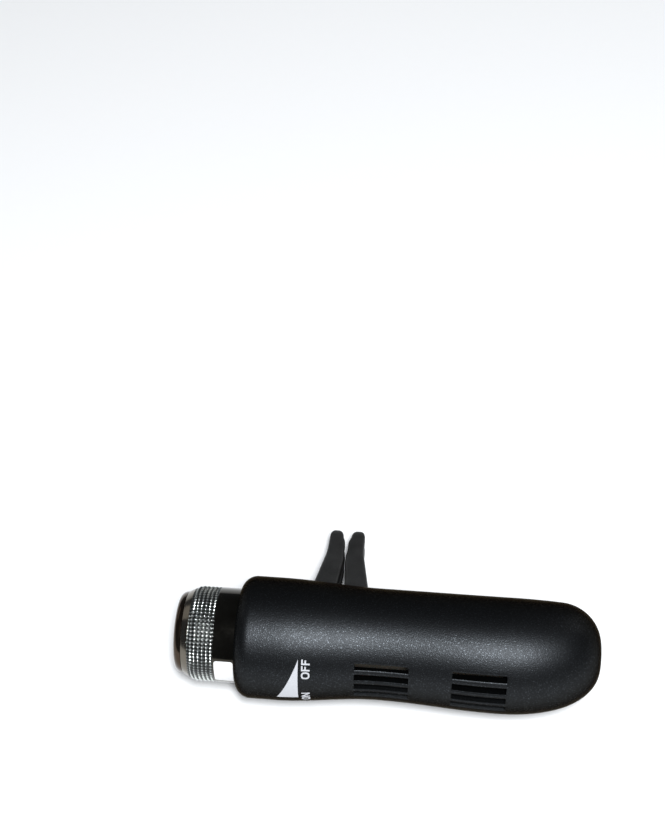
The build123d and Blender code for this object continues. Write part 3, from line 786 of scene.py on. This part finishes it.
# ---- barrel ---------------------------------------------------------------------------------
RING_STEP = 0.9 * MM        # widest step between the barrel's rings
MOUTH_LAND = 0.12 * MM      # flat between the lip and the bore of the mouth
SNAP_RING_WALL = 1.54 * MM
SNAP_RING_EDGE = 0.25 * MM  # rounding of the snap ring's top
SNAP_RING_HEEL = 0.1 * MM   # rounding of its lower inner edge


def nose(height, length, flat, full):
    """Rounding of the tail: a quarter ellipse from the flat end out to the full radius."""
    rise = np.clip(1 - height / length, 0, 1)
    return flat + (full - flat) * np.sqrt(np.clip(1 - rise * rise, 0, 1))


def barrel_radius(angle, height):
    """Outer surface of the barrel, from the axis.

    Every cross-section is a circle through the front and the back surface.  Both surfaces are a quarter
    ellipse on the tail and cosine steps through the bulge, the waist and the shoulder.  The centre lies
    half their difference towards the clip, so the distance in a direction that makes an angle a with the
    clip side is c cos a + sqrt(R^2 - c^2 sin^2 a).  Above the shoulder, the lip is a quarter circle.
    """
    size = settings("barrel")
    shoulder = MOUTH - size.lip_round - size.shoulder_length
    top = (shoulder, size.shoulder_r)
    front_line = [(size.bulge_at, size.bulge_front), (size.waist_at, size.waist_front), top]
    back_line = [(size.bulge_at, size.bulge_back), (size.waist_at, size.waist_back), top]
    front = np.where(height < size.bulge_at,
                     nose(height, size.nose_front, size.flat_front, size.bulge_front),
                     eased(front_line, height))
    full = size.bulge_back + size.bulge_swell * (1 - height / size.bulge_at)
    back = np.where(height < size.bulge_at,
                    nose(height, size.nose_back, size.flat_back, full),
                    eased(back_line, height))
    radius, centre = (front + back) / 2, (back - front) / 2
    lip = np.clip(height - (MOUTH - size.lip_round), 0, size.lip_round)
    radius = radius - size.lip_round + np.sqrt(size.lip_round ** 2 - lip ** 2)
    return -centre * np.cos(angle) + np.sqrt(radius ** 2 - (centre * np.sin(angle)) ** 2)


def slot_places():
    """Angles of a group's slots, and the lower and upper end of each group."""
    size = settings("barrel")
    angles = (np.arange(size.slot_count) - (size.slot_count - 1) / 2) * size.slot_pitch
    ends = [(middle - size.slot_length / 2, middle + size.slot_length / 2)
            for middle in (size.slot_low, size.slot_high)]
    return angles, ends


def between(values, low, high):
    """Cells of a run of grid lines that lie between two of them."""
    middle = (values[:-1] + values[1:]) / 2
    return (middle > low) & (middle < high)


class DIFFUSER_OT_barrel(Operator):
    """Builds the barrel with its bore, its rounded tail, its softened mouth and its air slots"""
    bl_idname = "diffuser.barrel"
    bl_label = "Barrel"

    def execute(self, context):
        size = settings("barrel")
        slots, ends = slot_places()
        half = size.slot_width / 2 / size.waist_front
        marks = [a + side * half for a in slots for side in (-1, 1)]
        angle = lines(-math.pi, math.pi, math.radians(2.5), marks, size.rim / size.waist_front)[:-1]
        outer, first, barrel = self.outside(size, ends)
        bore_rings, inside = self.inside(size, outer[-1], barrel)
        radius = np.concatenate([[barrel_radius(angle, z) for z in outer],
                                 inside[:, :1] + np.zeros(len(angle))])
        height = np.concatenate([outer, inside[:, 1]])[:, None] + np.zeros(len(angle))
        mirror = first + len(outer) + bore_rings - 1
        columns = np.append(angle, math.pi)
        across = np.any([between(columns, a - half, a + half) for a in slots], axis=0)
        along = np.any([between(outer, low, high) for low, high in ends], axis=0)
        removed = along[:, None] & across[None, :]
        radius[:len(outer)][window_edges(removed)] -= size.rim_drop
        piece = pierced("barrel", radius, height, angle, removed, mirror, lacquer(), ends="caps",
                        sharp=38.0)
        place(piece, "housing", "soft_touch_black", "outer_shell")
        return {"FINISHED"}

    def outside(self, size, ends):
        """Heights of the rings up the outside, the first ring beside the bore, and those beside it."""
        tail = size.nose_back * (1 - np.cos(np.linspace(0, math.pi / 2, 26)))
        nose_run = np.linspace(tail[-1], size.bore_floor, 6)[1:-1]
        slot_ends = [end for pair in ends for end in pair]
        barrel = lines(size.bore_floor, RING_LOW[2], RING_STEP, slot_ends, size.rim)
        lip_start = MOUTH - size.lip_round
        above = lines(RING_LOW[2], lip_start, RING_STEP)[1:-1]
        reach = size.mouth_r + MOUTH_LAND - size.shoulder_r + size.lip_round
        lip_turn = math.asin(min(max(reach / size.lip_round, 0), 1))
        lip = lip_start + size.lip_round * np.sin(np.linspace(0, math.pi / 2 - lip_turn, 18))
        return np.concatenate([tail, nose_run, barrel, above, lip]), len(tail) + len(nose_run), barrel

    def inside(self, size, edge, barrel):
        """Radius and height of the rings down the inside, and how many come before the bore's floor."""
        mouth = [(size.mouth_r + MOUTH_LAND / 3, edge - MOUTH_LAND / 6),
                 (size.mouth_r, edge - MOUTH_LAND * 5 / 6),
                 (size.mouth_r, (edge + RING_LOW[2]) / 2), (size.mouth_r, RING_LOW[2])]
        bore = [(size.bore_r, z) for z in barrel[::-1]]
        pocket = [(size.sump_r, size.bore_floor), (size.sump_r, size.sump_floor + size.corner),
                  (size.sump_r - size.corner, size.sump_floor)]
        return len(mouth) + len(bore), np.array(mouth + bore + pocket)


class DIFFUSER_OT_retainer(Operator):
    """Builds the snap ring in the mouth and finishes the drip pad"""
    bl_idname = "diffuser.retainer"
    bl_label = "Snap ring and pad"

    def execute(self, context):
        bore, wide = RING_HIGH[0] - SNAP_RING_WALL, RING_HIGH[0]
        outline = rounded([(bore, RING_LOW[2], SNAP_RING_HEEL), (wide, RING_LOW[2], 0),
                           (wide, RING_HIGH[2], SNAP_RING_EDGE), (bore, RING_HIGH[2], SNAP_RING_EDGE)])
        ring = turned_ring("snap_ring", outline, inner_plastic())
        place(ring, "housing", "inner_black", "mouth_ring")
        finish_node("tail_pad", pressed_felt())
        return {"FINISHED"}


# ---- dial ------------------------------------------------------------------------------------
PRINT_SINK = 0.05 * MM      # print sunk in the barrel
LETTER_WEIGHT = 0.2         # stroke, as a share of the letter height
LETTER_GAP = 0.13           # between letters, as a share of the letter height
OFF_START = math.radians(5.0)
ON_START = math.radians(-31.9)
RAMP_CURVE = 1.12           # power by which the ramp thickens
RAMP_TIP = 0.004            # share of the ramp where its tip is cut


def slab(angle, height, surface, lift, sink, wrap=False):
    """Thin closed patch that follows a surface: one layer proud of it, one sunk, and walls at the rim.

    angle and height are grids of the same shape.  wrap joins the last column to the first.
    """
    rows, columns = angle.shape
    base = surface(angle, height)
    top = polar(base + lift, angle, height).reshape(-1, 3)
    under = polar(base - sink, angle, height).reshape(-1, 3)
    upper = cells(rows, columns, wrap_columns=wrap).reshape(-1, 4)
    count = len(top)
    rims = [np.arange(columns), np.arange(columns) + (rows - 1) * columns]
    if not wrap:
        rims += [np.arange(rows) * columns, np.arange(rows) * columns + columns - 1]
    walls = []
    for rim in rims:
        here, then = (rim, np.roll(rim, -1)) if wrap else (rim[:-1], rim[1:])
        walls.append(np.stack([here, then, then + count, here + count], -1))
    return np.concatenate([top, under]), np.concatenate([upper, upper[:, ::-1] + count] + walls)


def joined(patches):
    """Several (points, quads) patches as one."""
    points, quads, count = [], [], 0
    for patch_points, patch_quads in patches:
        points.append(patch_points)
        quads.append(patch_quads + count)
        count += len(patch_points)
    return np.concatenate(points), np.concatenate(quads)


def stroke(corners, rows=8, columns=8):
    """Grid over a four-sided stroke, corners in order round it: straight lines across both ways."""
    a, b, c, d = np.array(corners, float)
    u = np.linspace(0, 1, columns)[None, :, None]
    v = np.linspace(0, 1, rows)[:, None, None]
    return (1 - v) * ((1 - u) * a + u * b) + v * ((1 - u) * d + u * c)


def letter_o(width, weight, columns=56, power=2.6):
    """Ring of a letter O between two superellipses: |x/a|^n + |y/b|^n = 1."""
    turn = np.arange(columns) * 2 * math.pi / columns
    share = np.array([0.0, 0.5, 1.0])[:, None]
    half_x = width / 2 - share * weight
    half_y = 0.5 - share * weight * 0.92
    x = half_x * np.sign(np.cos(turn)) * np.abs(np.cos(turn)) ** (2 / power)
    y = half_y * np.sign(np.sin(turn)) * np.abs(np.sin(turn)) ** (2 / power)
    return [np.stack([width / 2 + x, 0.5 + y], -1)]


def letter_f(width, weight):
    """Three strokes of a letter F."""
    thin = weight * 0.9
    return [stroke([(0, 0), (weight, 0), (weight, 1), (0, 1)], 10, 3),
            stroke([(weight, 1 - thin), (width, 1 - thin), (width, 1), (weight, 1)], 3, 6),
            stroke([(weight, 0.44), (width * 0.88, 0.44), (width * 0.88, 0.44 + thin),
                    (weight, 0.44 + thin)], 3, 6)]


def letter_n(width, weight):
    """Three strokes of a letter N."""
    return [stroke([(0, 0), (weight, 0), (weight, 1), (0, 1)], 10, 3),
            stroke([(width - weight, 0), (width, 0), (width, 1), (width - weight, 1)], 10, 3),
            stroke([(weight, 1 - 1.55 * weight), (width - weight, 0), (width - weight, 1.55 * weight),
                    (weight, 1)], 4, 8)]


def legend(text, start, base, size, lift):
    """Letters printed round the barrel from an angle: across along the arc, up towards the knob."""
    shapes = {"O": (0.97, letter_o), "F": (0.66, letter_f), "N": (0.98, letter_n)}
    patches, across = [], 0.0
    radius = float(barrel_radius(np.array(start), np.array(base)))
    for letter in text:
        width, strokes = shapes[letter]
        for grid in strokes(width, LETTER_WEIGHT):
            angle = start + (across + grid[..., 0]) * size / radius
            height = base + grid[..., 1] * size
            patches.append(slab(angle, height, barrel_radius, lift, PRINT_SINK, wrap=letter == "O"))
        across += width + LETTER_GAP
    return joined(patches)


class DIFFUSER_OT_dial(Operator):
    """Prints the ramp and its two legends on the barrel"""
    bl_idname = "diffuser.dial"
    bl_label = "Printed dial"

    def execute(self, context):
        dial = settings("dial")
        share = np.linspace(RAMP_TIP, 1, 60)[None, :]
        up = np.linspace(0, 1, 12)[:, None]
        angle = dial.ramp_off + (dial.ramp_on - dial.ramp_off) * share + 0 * up
        height = dial.ramp_base + up * dial.ramp_height * share ** RAMP_CURVE
        ramp = slab(angle, height, barrel_radius, dial.lift, PRINT_SINK)
        base = dial.ramp_base - dial.letter_gap - dial.letter
        off = legend("OFF", OFF_START, base, dial.letter, dial.lift)
        on = legend("ON", ON_START, base, dial.letter, dial.lift)
        white = print_white("Dial print", settings("colours").print)
        for name, (points, quads) in (("dial_ramp", ramp), ("legend_off", off), ("legend_on", on)):
            piece = make_piece(name, points, [quads], white, reorient=False, mend=True)
            place(piece, "housing", "white_mark")
        return {"FINISHED"}


# ---- knob ---------------------------------------------------------------------------------------
MARK_SINK = 0.2 * MM        # index mark sunk in the neck
TAPER_LENGTH = 1.7 * MM     # top of the grip band that tapers in
TAPER_DEPTH = 0.6 * MM      # radius lost over the taper
TAPER_CURVE = 1.8
KNURL_RUN_OUT = 0.3 * MM    # knurl fades out this close to the band's ends
BAND_FOOT = 0.12 * MM       # chamfer at the lower end of the band
BAND_EDGE = 0.1 * MM        # chamfer at its upper end
TRIM_BORE = 1.0 * MM        # disc radius beyond the ring's bore
TRIM_FOOT = 0.08 * MM       # rounding of the bevelled ring's lower edge
TRIM_CREST = 0.07 * MM      # rounding of its upper edge
TRIM_LIP = 0.1 * MM         # its upper edge beyond the disc
BOSS_R = 3.0 * MM           # boss under the end disc
DISC_FOOT = 0.12 * MM       # chamfer at the foot of the end disc
FACE_LAND = 0.5 * MM        # flat rim round the dished face
FACE_SLOPE = 0.12 * MM      # width of the step from the rim down to the dish
FACE_STEP = 0.08 * MM       # depth of that step


def neck_radius(angle, height):
    """Smooth neck: the same radius all round."""
    return KNOB_R + 0 * angle + 0 * height


class DIFFUSER_OT_neck(Operator):
    """Builds the smooth plated neck and its white index mark"""
    bl_idname = "diffuser.neck"
    bl_label = "Neck and index mark"

    def execute(self, context):
        edge = settings("knob").edge
        inner = CORE_HIGH[0]
        outline = rounded([(inner, NECK_LOW[2], 0), (KNOB_R, NECK_LOW[2], edge),
                           (KNOB_R, NECK_HIGH[2], edge * 0.6), (inner, NECK_HIGH[2], 0)])
        black = plating("Plated neck", settings("colours").plating, 0.07, 0.2, 0.0015 * MM)
        place(turned_ring("plated_neck", outline, black), "knob", "bright_chrome", "knob_skirt")
        dial = settings("dial")
        low, high = MARK_LOW[2], MARK_HIGH[2]
        middle, half = (low + high) / 2, (high - low) / 2
        rise = np.sin(np.linspace(-math.pi / 2, math.pi / 2, 33))[:, None]
        over = np.clip(np.abs(rise) * half - (half - dial.mark_corner), 0, dial.mark_corner)
        inset = dial.mark_corner - np.sqrt(dial.mark_corner ** 2 - over ** 2)
        share = np.linspace(-1, 1, 41)[None, :]
        angle = dial.mark_at + share * (dial.mark_width / 2 - inset / KNOB_R)
        height = middle + half * rise + 0 * share
        points, quads = slab(angle, height, neck_radius, dial.lift, MARK_SINK)
        white = print_white("Index mark white", settings("colours").mark)
        mark = make_piece("white_index_mark", points, [quads], white, reorient=False, mend=True)
        place(mark, "knob", "white_mark", "index_mark")
        return {"FINISHED"}


def knurl_profile(height, radius):
    """Radius of the grip band before knurling: a cylinder that tapers in near the end disc."""
    share = np.clip(1 - (KNURL_HIGH[2] - height) / TAPER_LENGTH, 0, 1)
    return radius - TAPER_DEPTH * share ** TAPER_CURVE


def knurl_height(angle, height, count, pitch):
    """Knurl of small pyramids in straight rows and columns, from 0 in its grooves to 1 on its points.

    Each pyramid stands on a diamond whose corners meet its neighbours'.  The height falls off with the
    sum of the distances round and along the band from the pyramid's centre, and the point is blunted.
    """
    turns, rise = count * angle / (2 * math.pi), height / pitch
    away = [2 * np.abs(share % 1 - 0.5) for share in (turns, rise)]
    return np.clip(1.25 * (1 - away[0] - away[1]), -0.2, 1.0)


class DIFFUSER_OT_grip(Operator):
    """Cuts the diamond knurl of the grip band"""
    bl_idname = "diffuser.grip"
    bl_label = "Knurled grip"

    def execute(self, context):
        knob = settings("knob")
        low, high = KNURL_LOW[2], KNURL_HIGH[2]
        columns = knob.knurl_count * 8
        angle = np.arange(columns) * 2 * math.pi / columns
        rows = np.linspace(low + BAND_FOOT, high - BAND_EDGE * 0.6, 61)
        fade = np.clip(np.minimum(rows - low, high - rows) / KNURL_RUN_OUT, 0, 1)
        depth = knob.knurl_depth * fade[:, None]
        base = knurl_profile(rows, KNOB_R)[:, None]
        relief = knurl_height(angle, rows[:, None] - low, knob.knurl_count, knob.knurl_pitch)
        cut = base - depth * (1 - relief)
        inner = CORE_HIGH[0]
        flat = np.zeros((1, columns))
        radius = np.concatenate([flat + inner, flat + KNOB_R - BAND_FOOT, cut,
                                 flat + base[-1] - BAND_EDGE, flat + inner])
        height = np.concatenate([[low, low], rows, [high, high]])[:, None] + flat
        points = polar(radius, angle[None, :], height).reshape(-1, 3)
        quads = cells(len(height), columns, wrap_rows=True).reshape(-1, 4)
        band = make_piece("knurled_grip", points, [quads], plated_knurl(), sharp=50.0)
        edge = np.zeros((2, columns), np.float32)
        shade = np.concatenate([edge, relief.astype(np.float32), edge]).ravel()
        band.data.attributes.new("knurl_height", "FLOAT", "POINT").data.foreach_set("value", shade)
        place(band, "knob", "bright_chrome", "knurled_ring")
        return {"FINISHED"}


class DIFFUSER_OT_knob_end(Operator):
    """Builds the bevelled ring and the end disc of the knob"""
    bl_idname = "diffuser.knob_end"
    bl_label = "Knob end"

    def execute(self, context):
        knob = settings("knob")
        colours = settings("colours")
        bore, wide = DISC_R - TRIM_BORE, TRIM_HIGH[0]
        ring = rounded([(bore, TRIM_LOW[2], 0), (wide, TRIM_LOW[2], TRIM_FOOT),
                        (DISC_R + TRIM_LIP, TRIM_HIGH[2], TRIM_CREST), (bore, TRIM_HIGH[2], 0)])
        # painted highlight: the bevel ring's lighter plating stands in for a highlight along the step
        bright = plating("Plated bevel", colours.bevel, 0.16, 0.3, 0.003 * MM)
        place(turned_ring("bevel_ring", ring, bright), "knob", "bright_chrome", "knob_trim_ring")
        low, high, soft = TRIM_HIGH[2], DISC_HIGH[2], knob.disc_round
        turn = np.linspace(0, math.pi / 2, 14)[:, None]
        edge = np.hstack([DISC_R - soft + soft * np.cos(turn), high - soft + soft * np.sin(turn)])
        dish = np.linspace(1, 0, 24)[:, None]
        face_r = DISC_R - soft - FACE_LAND
        face = np.hstack([face_r * dish, high - knob.disc_dish * (1 - dish ** 2) - FACE_STEP])
        foot = [[0, DISC_LOW[2]], [BOSS_R, DISC_LOW[2]], [BOSS_R, TRIM_LOW[2]], [bore, TRIM_LOW[2]],
                [bore, low], [DISC_R - DISC_FOOT, low], [DISC_R, low + DISC_FOOT]]
        outline = np.concatenate([foot, edge, [[face_r + FACE_SLOPE, high]], face])
        # painted reflection: the end disc's plating is tinted brown for the surroundings it mirrors
        painted_reflection_plating = plating("Plated end", colours.disc, 0.16, 0.3, 0.003 * MM)
        disc = turned_solid("end_disc", outline, painted_reflection_plating)
        place(disc, "knob", "bright_chrome", "knob_disc")
        return {"FINISHED"}


class DIFFUSER_OT_carrier(Operator):
    """Finishes the knob's carrier, its seal and the shutter"""
    bl_idname = "diffuser.carrier"
    bl_label = "Carrier, seal and shutter"

    def execute(self, context):
        finish_node("knob_core", inner_plastic())
        finish_node("shutter_drum", inner_plastic())
        finish_node("knob_o_ring", seal_rubber())
        return {"FINISHED"}


class DIFFUSER_OT_refill(Operator):
    """Finishes the refill: collar, cage, plug and scent rod"""
    bl_idname = "diffuser.refill"
    bl_label = "Refill"

    def execute(self, context):
        for node in ("cartridge_collar", "cartridge_cage", "cartridge_plug"):
            finish_node(node, refill_plastic())
        finish_node("scent_core", scent_fibre())
        return {"FINISHED"}


# ---- clip ---------------------------------------------------------------------------------------
ROOT_SINK = 1.2 * MM        # finger root sunk in the saddle
ROOT_DRAFT = 0.1 * MM       # finger at the saddle inside its root; half of it the other way
MID_GAP = 0.5 * MM          # half gap a quarter of the way out
CROSS_MID_GAP = 0.38 * MM   # the same for the other slot, at the bend
CROSS_END_GAP = 0.75 * MM   # the other slot at its mouth
BEND_AT = 0.62              # share of the finger where its outer side bends
BEND_SWELL = 0.15 * MM      # finger at the bend beyond its tip
FINGER_COLUMNS = 72
FINGER_CORNERS = 5.5        # power of the finger's rounded section
SADDLE_COLUMNS = 96
SADDLE_CORNERS = 7.0
SADDLE_EDGE = 0.45 * MM     # eased top edge of the saddle
SADDLE_INSET = 0.12 * MM    # saddle inside the outline of the finger roots
SADDLE_FOOT = 11.0 * MM     # saddle's lowest level, inside the barrel's wall


def superellipse(turn, power):
    """Point of the rounded square |x|^n + |y|^n = 1."""
    x, y = np.cos(turn), np.sin(turn)
    return (np.sign(x) * np.abs(x) ** (2 / power), np.sign(y) * np.abs(y) ** (2 / power))


def finger_sides(clip, y):
    """Gap side and outer side of a finger along the barrel and across it, from the clip's middle.

    y is the share of the finger's length.  Each side is a run of straight stretches with soft bends.
    """
    root_z, root_x = FINGER_HIGH[2] - CLIP_AT, FINGER_HIGH[0]
    gap_z = bent([(0, clip.root_gap), (0.25, MID_GAP), (0.46, clip.pinch), (0.58, clip.pinch),
                  (0.63, clip.pocket), (0.80, clip.pocket), (0.91, clip.lead_in)], y, 0.025)
    gap_x = bent([(0, clip.root_gap), (0.58, CROSS_MID_GAP), (1, CROSS_END_GAP)], y, 0.05)
    wide_z = bent([(-0.05, root_z), (0, root_z - ROOT_DRAFT), (BEND_AT, clip.tip_length + BEND_SWELL),
                   (1, clip.tip_length)], y, 0.08)
    wide_x = bent([(-0.05, root_x), (0, root_x - ROOT_DRAFT / 2), (BEND_AT, clip.tip_width + BEND_SWELL),
                   (1, clip.tip_width)], y, 0.08)
    return (gap_z, wide_z), (gap_x, wide_x)


def capped(rings, columns, count):
    """Quads of a closed stack of rings, and the fans of its two end centres, numbered from count."""
    ring = np.arange(columns)
    ends = [fan(ring[::-1], count), fan(ring + count - columns, count + 1)]
    return [cells(rings, columns).reshape(-1, 4), np.concatenate(ends)]


def finger_surface(across, along):
    """Points and faces of one finger, upright in the working frame.

    Level by level, out from the barrel, the section is a rounded rectangle between the gap side and the
    outer side.  Over the dome at the tip all four sides close in on the peak: across the half height of
    the dome a side keeps sqrt(1 - t^2) of its distance, t being the share of the dome climbed.
    """
    clip = settings("clip")
    seat, reach, dome = BASE_HIGH[1], FINGER_HIGH[1], clip.tip_dome
    climbed = np.sin(np.linspace(0, math.pi / 2, 16))[1:]
    levels = np.append(np.linspace(seat - ROOT_SINK, reach - dome, 60), reach - dome + dome * climbed)
    y = (np.minimum(levels, reach - dome) - seat) / (reach - seat)
    sides_z, sides_x = finger_sides(clip, y)
    share = np.clip(levels - (reach - dome), 0, dome) / dome
    close = np.sqrt(np.clip(1 - share ** 2, 0, 1))
    close[-1] = 0.02
    peak_x = (sides_x[0] + sides_x[1]) / 2
    low_z, high_z = [clip.peak + (side - clip.peak) * close for side in sides_z]
    low_x, high_x = [peak_x + (side - peak_x) * close ** 0.6 for side in sides_x]
    turn = np.arange(FINGER_COLUMNS) * 2 * math.pi / FINGER_COLUMNS
    sx, sz = superellipse(turn, FINGER_CORNERS)
    x = across * ((low_x + high_x)[:, None] + (high_x - low_x)[:, None] * sx) / 2
    z = along * ((low_z + high_z)[:, None] + (high_z - low_z)[:, None] * sz) / 2 + CLIP_AT
    points = np.stack([x, levels[:, None] + 0 * x, z], -1).reshape(-1, 3)
    ends = [points[:FINGER_COLUMNS].mean(axis=0), points[-FINGER_COLUMNS:].mean(axis=0)]
    faces = capped(len(levels), FINGER_COLUMNS, len(points))
    return np.concatenate([points, ends]), faces


class DIFFUSER_OT_clip(Operator):
    """Builds the saddle of the clip and its four springing fingers"""
    bl_idname = "diffuser.clip"
    bl_label = "Vent clip"

    def execute(self, context):
        for across, level in ((1, "upper"), (-1, "lower")):
            for along, end in ((1, "knob"), (-1, "tail")):
                points, faces = finger_surface(across, along)
                name = f"finger_{level}_{end}"
                piece = make_piece("spring_" + name, points, faces, clip_plastic(), reorient=False,
                                   mend=True)
                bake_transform(piece)
                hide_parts("clip_" + name)
        self.saddle()
        finish_node("clip_screw", zinc_steel())
        return {"FINISHED"}

    def saddle(self):
        """Saddle: a rounded block whose foot is sunk in the barrel's wall and whose top edge is eased."""
        top, soft = BASE_HIGH[1], SADDLE_EDGE
        half_x = FINGER_HIGH[0] - SADDLE_INSET
        half_z = FINGER_HIGH[2] - CLIP_AT - SADDLE_INSET
        turn = np.linspace(0, math.pi / 2, 9)
        foot = SADDLE_FOOT + np.array([0, 1.6, 2.2]) * MM
        inside = np.linspace(0.9, 0.08, 8)
        level = np.concatenate([foot, top - soft + soft * np.sin(turn), np.full(8, top)])
        inset = np.concatenate([np.zeros(3), soft * (1 - np.cos(turn))])
        scale_x = np.append(half_x - inset, (half_x - soft) * inside)
        scale_z = np.append(half_z - inset, (half_z - soft) * inside)
        around = np.arange(SADDLE_COLUMNS) * 2 * math.pi / SADDLE_COLUMNS
        sx, sz = superellipse(around, SADDLE_CORNERS)
        points = np.stack([scale_x[:, None] * sx, level[:, None] + 0 * sx,
                           CLIP_AT + scale_z[:, None] * sz], -1).reshape(-1, 3)
        ends = [[0, level[0], CLIP_AT], [0, top, CLIP_AT]]
        faces = capped(len(level), SADDLE_COLUMNS, len(points))
        piece = make_piece("clip_saddle", np.concatenate([points, ends]), faces, clip_plastic(),
                           reorient=False, mend=True)
        place(piece, "housing", "clip_black", "clip_base")


# ---- stage ---------------------------------------------------------------------------------------
LIGHTS = (                  # name, place, width and height, power in watts, tint
    ("window", (0.12, -0.37, 0.82), (0.15, 0.30), 11.0, (0.96, 0.98, 1.0)),
    ("back_right", (0.75, 0.7, 0.5), (0.5, 0.4), 0.6, (1.0, 0.97, 0.93)),
    ("back_left", (-0.9, 0.45, 0.45), (0.5, 0.4), 0.4, (1.0, 0.97, 0.93)))
SURROUND_TINT = (0.75, 0.8, 0.88, 1)
SURROUND_STRENGTH = 0.14


def look(azimuth, elevation):
    """Unit vector from the camera towards what it sees; azimuth 0 looks along +Y."""
    return Vector((-math.sin(azimuth) * math.cos(elevation), math.cos(azimuth) * math.cos(elevation),
                   -math.sin(elevation)))


def softbox(name, place_at, aim, size, power, tint):
    """Rectangular area light turned towards a point."""
    data = bpy.data.lights.new(name, "AREA")
    data.shape = "RECTANGLE"
    data.size, data.size_y = size
    data.energy = power
    data.color = tint
    lamp = bpy.data.objects.new(name, data)
    bpy.context.scene.collection.objects.link(lamp)
    lamp.location = place_at
    lamp.rotation_euler = (Vector(aim) - Vector(place_at)).to_track_quat("-Z", "Y").to_euler()
    return lamp


class DIFFUSER_OT_stage(Operator):
    """Lays the floor and sets the lights and the camera"""
    bl_idname = "diffuser.stage"
    bl_label = "Stage"

    def execute(self, context):
        stage = settings("stage")
        mesh = bpy.data.meshes.new("floor")
        half = stage.floor_size / 2
        mesh.from_pydata([(-half, -half, 0), (half, -half, 0), (half, half, 0), (-half, half, 0)],
                         [], [(0, 1, 2, 3)])
        mesh.materials.append(floor_paint())
        floor = bpy.data.objects.new("floor", mesh)
        context.scene.collection.objects.link(floor)
        self.camera(context, stage)
        self.lights(context)
        return {"FINISHED"}

    def camera(self, context, stage):
        """Camera that looks at a point on the floor, rolled about its own line of sight."""
        ahead = look(stage.azimuth, stage.elevation)
        side = ahead.cross(Vector((0, 0, 1))).normalized()
        upward = side.cross(ahead)
        right = math.cos(stage.roll) * side + math.sin(stage.roll) * upward
        up = -math.sin(stage.roll) * side + math.cos(stage.roll) * upward
        data = bpy.data.cameras.new("camera")
        data.lens = stage.lens
        data.sensor_width = 36.0
        data.dof.use_dof = False
        data.clip_start, data.clip_end = 0.01, 50.0
        camera = bpy.data.objects.new("camera", data)
        context.scene.collection.objects.link(camera)
        turn = Matrix((right, up, -ahead)).transposed().to_4x4()
        camera.matrix_world = Matrix.Translation(Vector(stage.target) - ahead * stage.distance) @ turn
        context.scene.camera = camera

    def lights(self, context):
        """One soft window above the camera, two dim ones at the back and a dark surround.

        The window lies out of the neck's mirror plane, so the neck stays dark while the barrel takes one
        broad highlight.
        """
        for name, place_at, size, power, tint in LIGHTS:
            softbox(name, place_at, (0, 0, 0), size, power, tint)
        world = bpy.data.worlds.new("surround")
        world.use_nodes = True
        background = world.node_tree.nodes["Background"]
        background.inputs["Color"].default_value = SURROUND_TINT
        background.inputs["Strength"].default_value = SURROUND_STRENGTH
        context.scene.world = world
        context.scene.view_settings.view_transform = "Standard"


# ---- add-on ----------------------------------------------------------------------------------------
PIECES = (DIFFUSER_OT_barrel, DIFFUSER_OT_retainer, DIFFUSER_OT_dial, DIFFUSER_OT_neck, DIFFUSER_OT_grip,
          DIFFUSER_OT_knob_end, DIFFUSER_OT_carrier, DIFFUSER_OT_refill, DIFFUSER_OT_clip,
          DIFFUSER_OT_stage)
GROUPS = {"barrel": DiffuserBarrel, "dial": DiffuserDial, "knob": DiffuserKnob, "clip": DiffuserClip,
          "colours": DiffuserColours, "stage": DiffuserStage}


class DIFFUSER_PT_panel(Panel):
    """Lists the pieces and their sizes"""
    bl_idname = "DIFFUSER_PT_panel"
    bl_label = "Vent diffuser"
    bl_space_type = "VIEW_3D"
    bl_region_type = "UI"
    bl_category = "Diffuser"

    def draw(self, context):
        for operator in PIECES:
            self.layout.operator(operator.bl_idname)
        for name, group in GROUPS.items():
            box = self.layout.box()
            box.label(text=name.capitalize())
            for prop in group.__annotations__:
                box.prop(getattr(context.scene, "diffuser_" + name), prop)


def register():
    """Registers the property groups, the operators and the panel."""
    for name, group in GROUPS.items():
        bpy.utils.register_class(group)
        setattr(bpy.types.Scene, "diffuser_" + name, PointerProperty(type=group))
    for cls in (*PIECES, DIFFUSER_PT_panel):
        bpy.utils.register_class(cls)


def unregister():
    """Removes what register() added."""
    for cls in (DIFFUSER_PT_panel, *reversed(PIECES)):
        bpy.utils.unregister_class(cls)
    for name, group in GROUPS.items():
        delattr(bpy.types.Scene, "diffuser_" + name)
        bpy.utils.unregister_class(group)


def main():
    register()
    for operator in PIECES:
        getattr(bpy.ops.diffuser, operator.bl_idname.split(".")[1])()


if __name__ == "__main__":
    main()
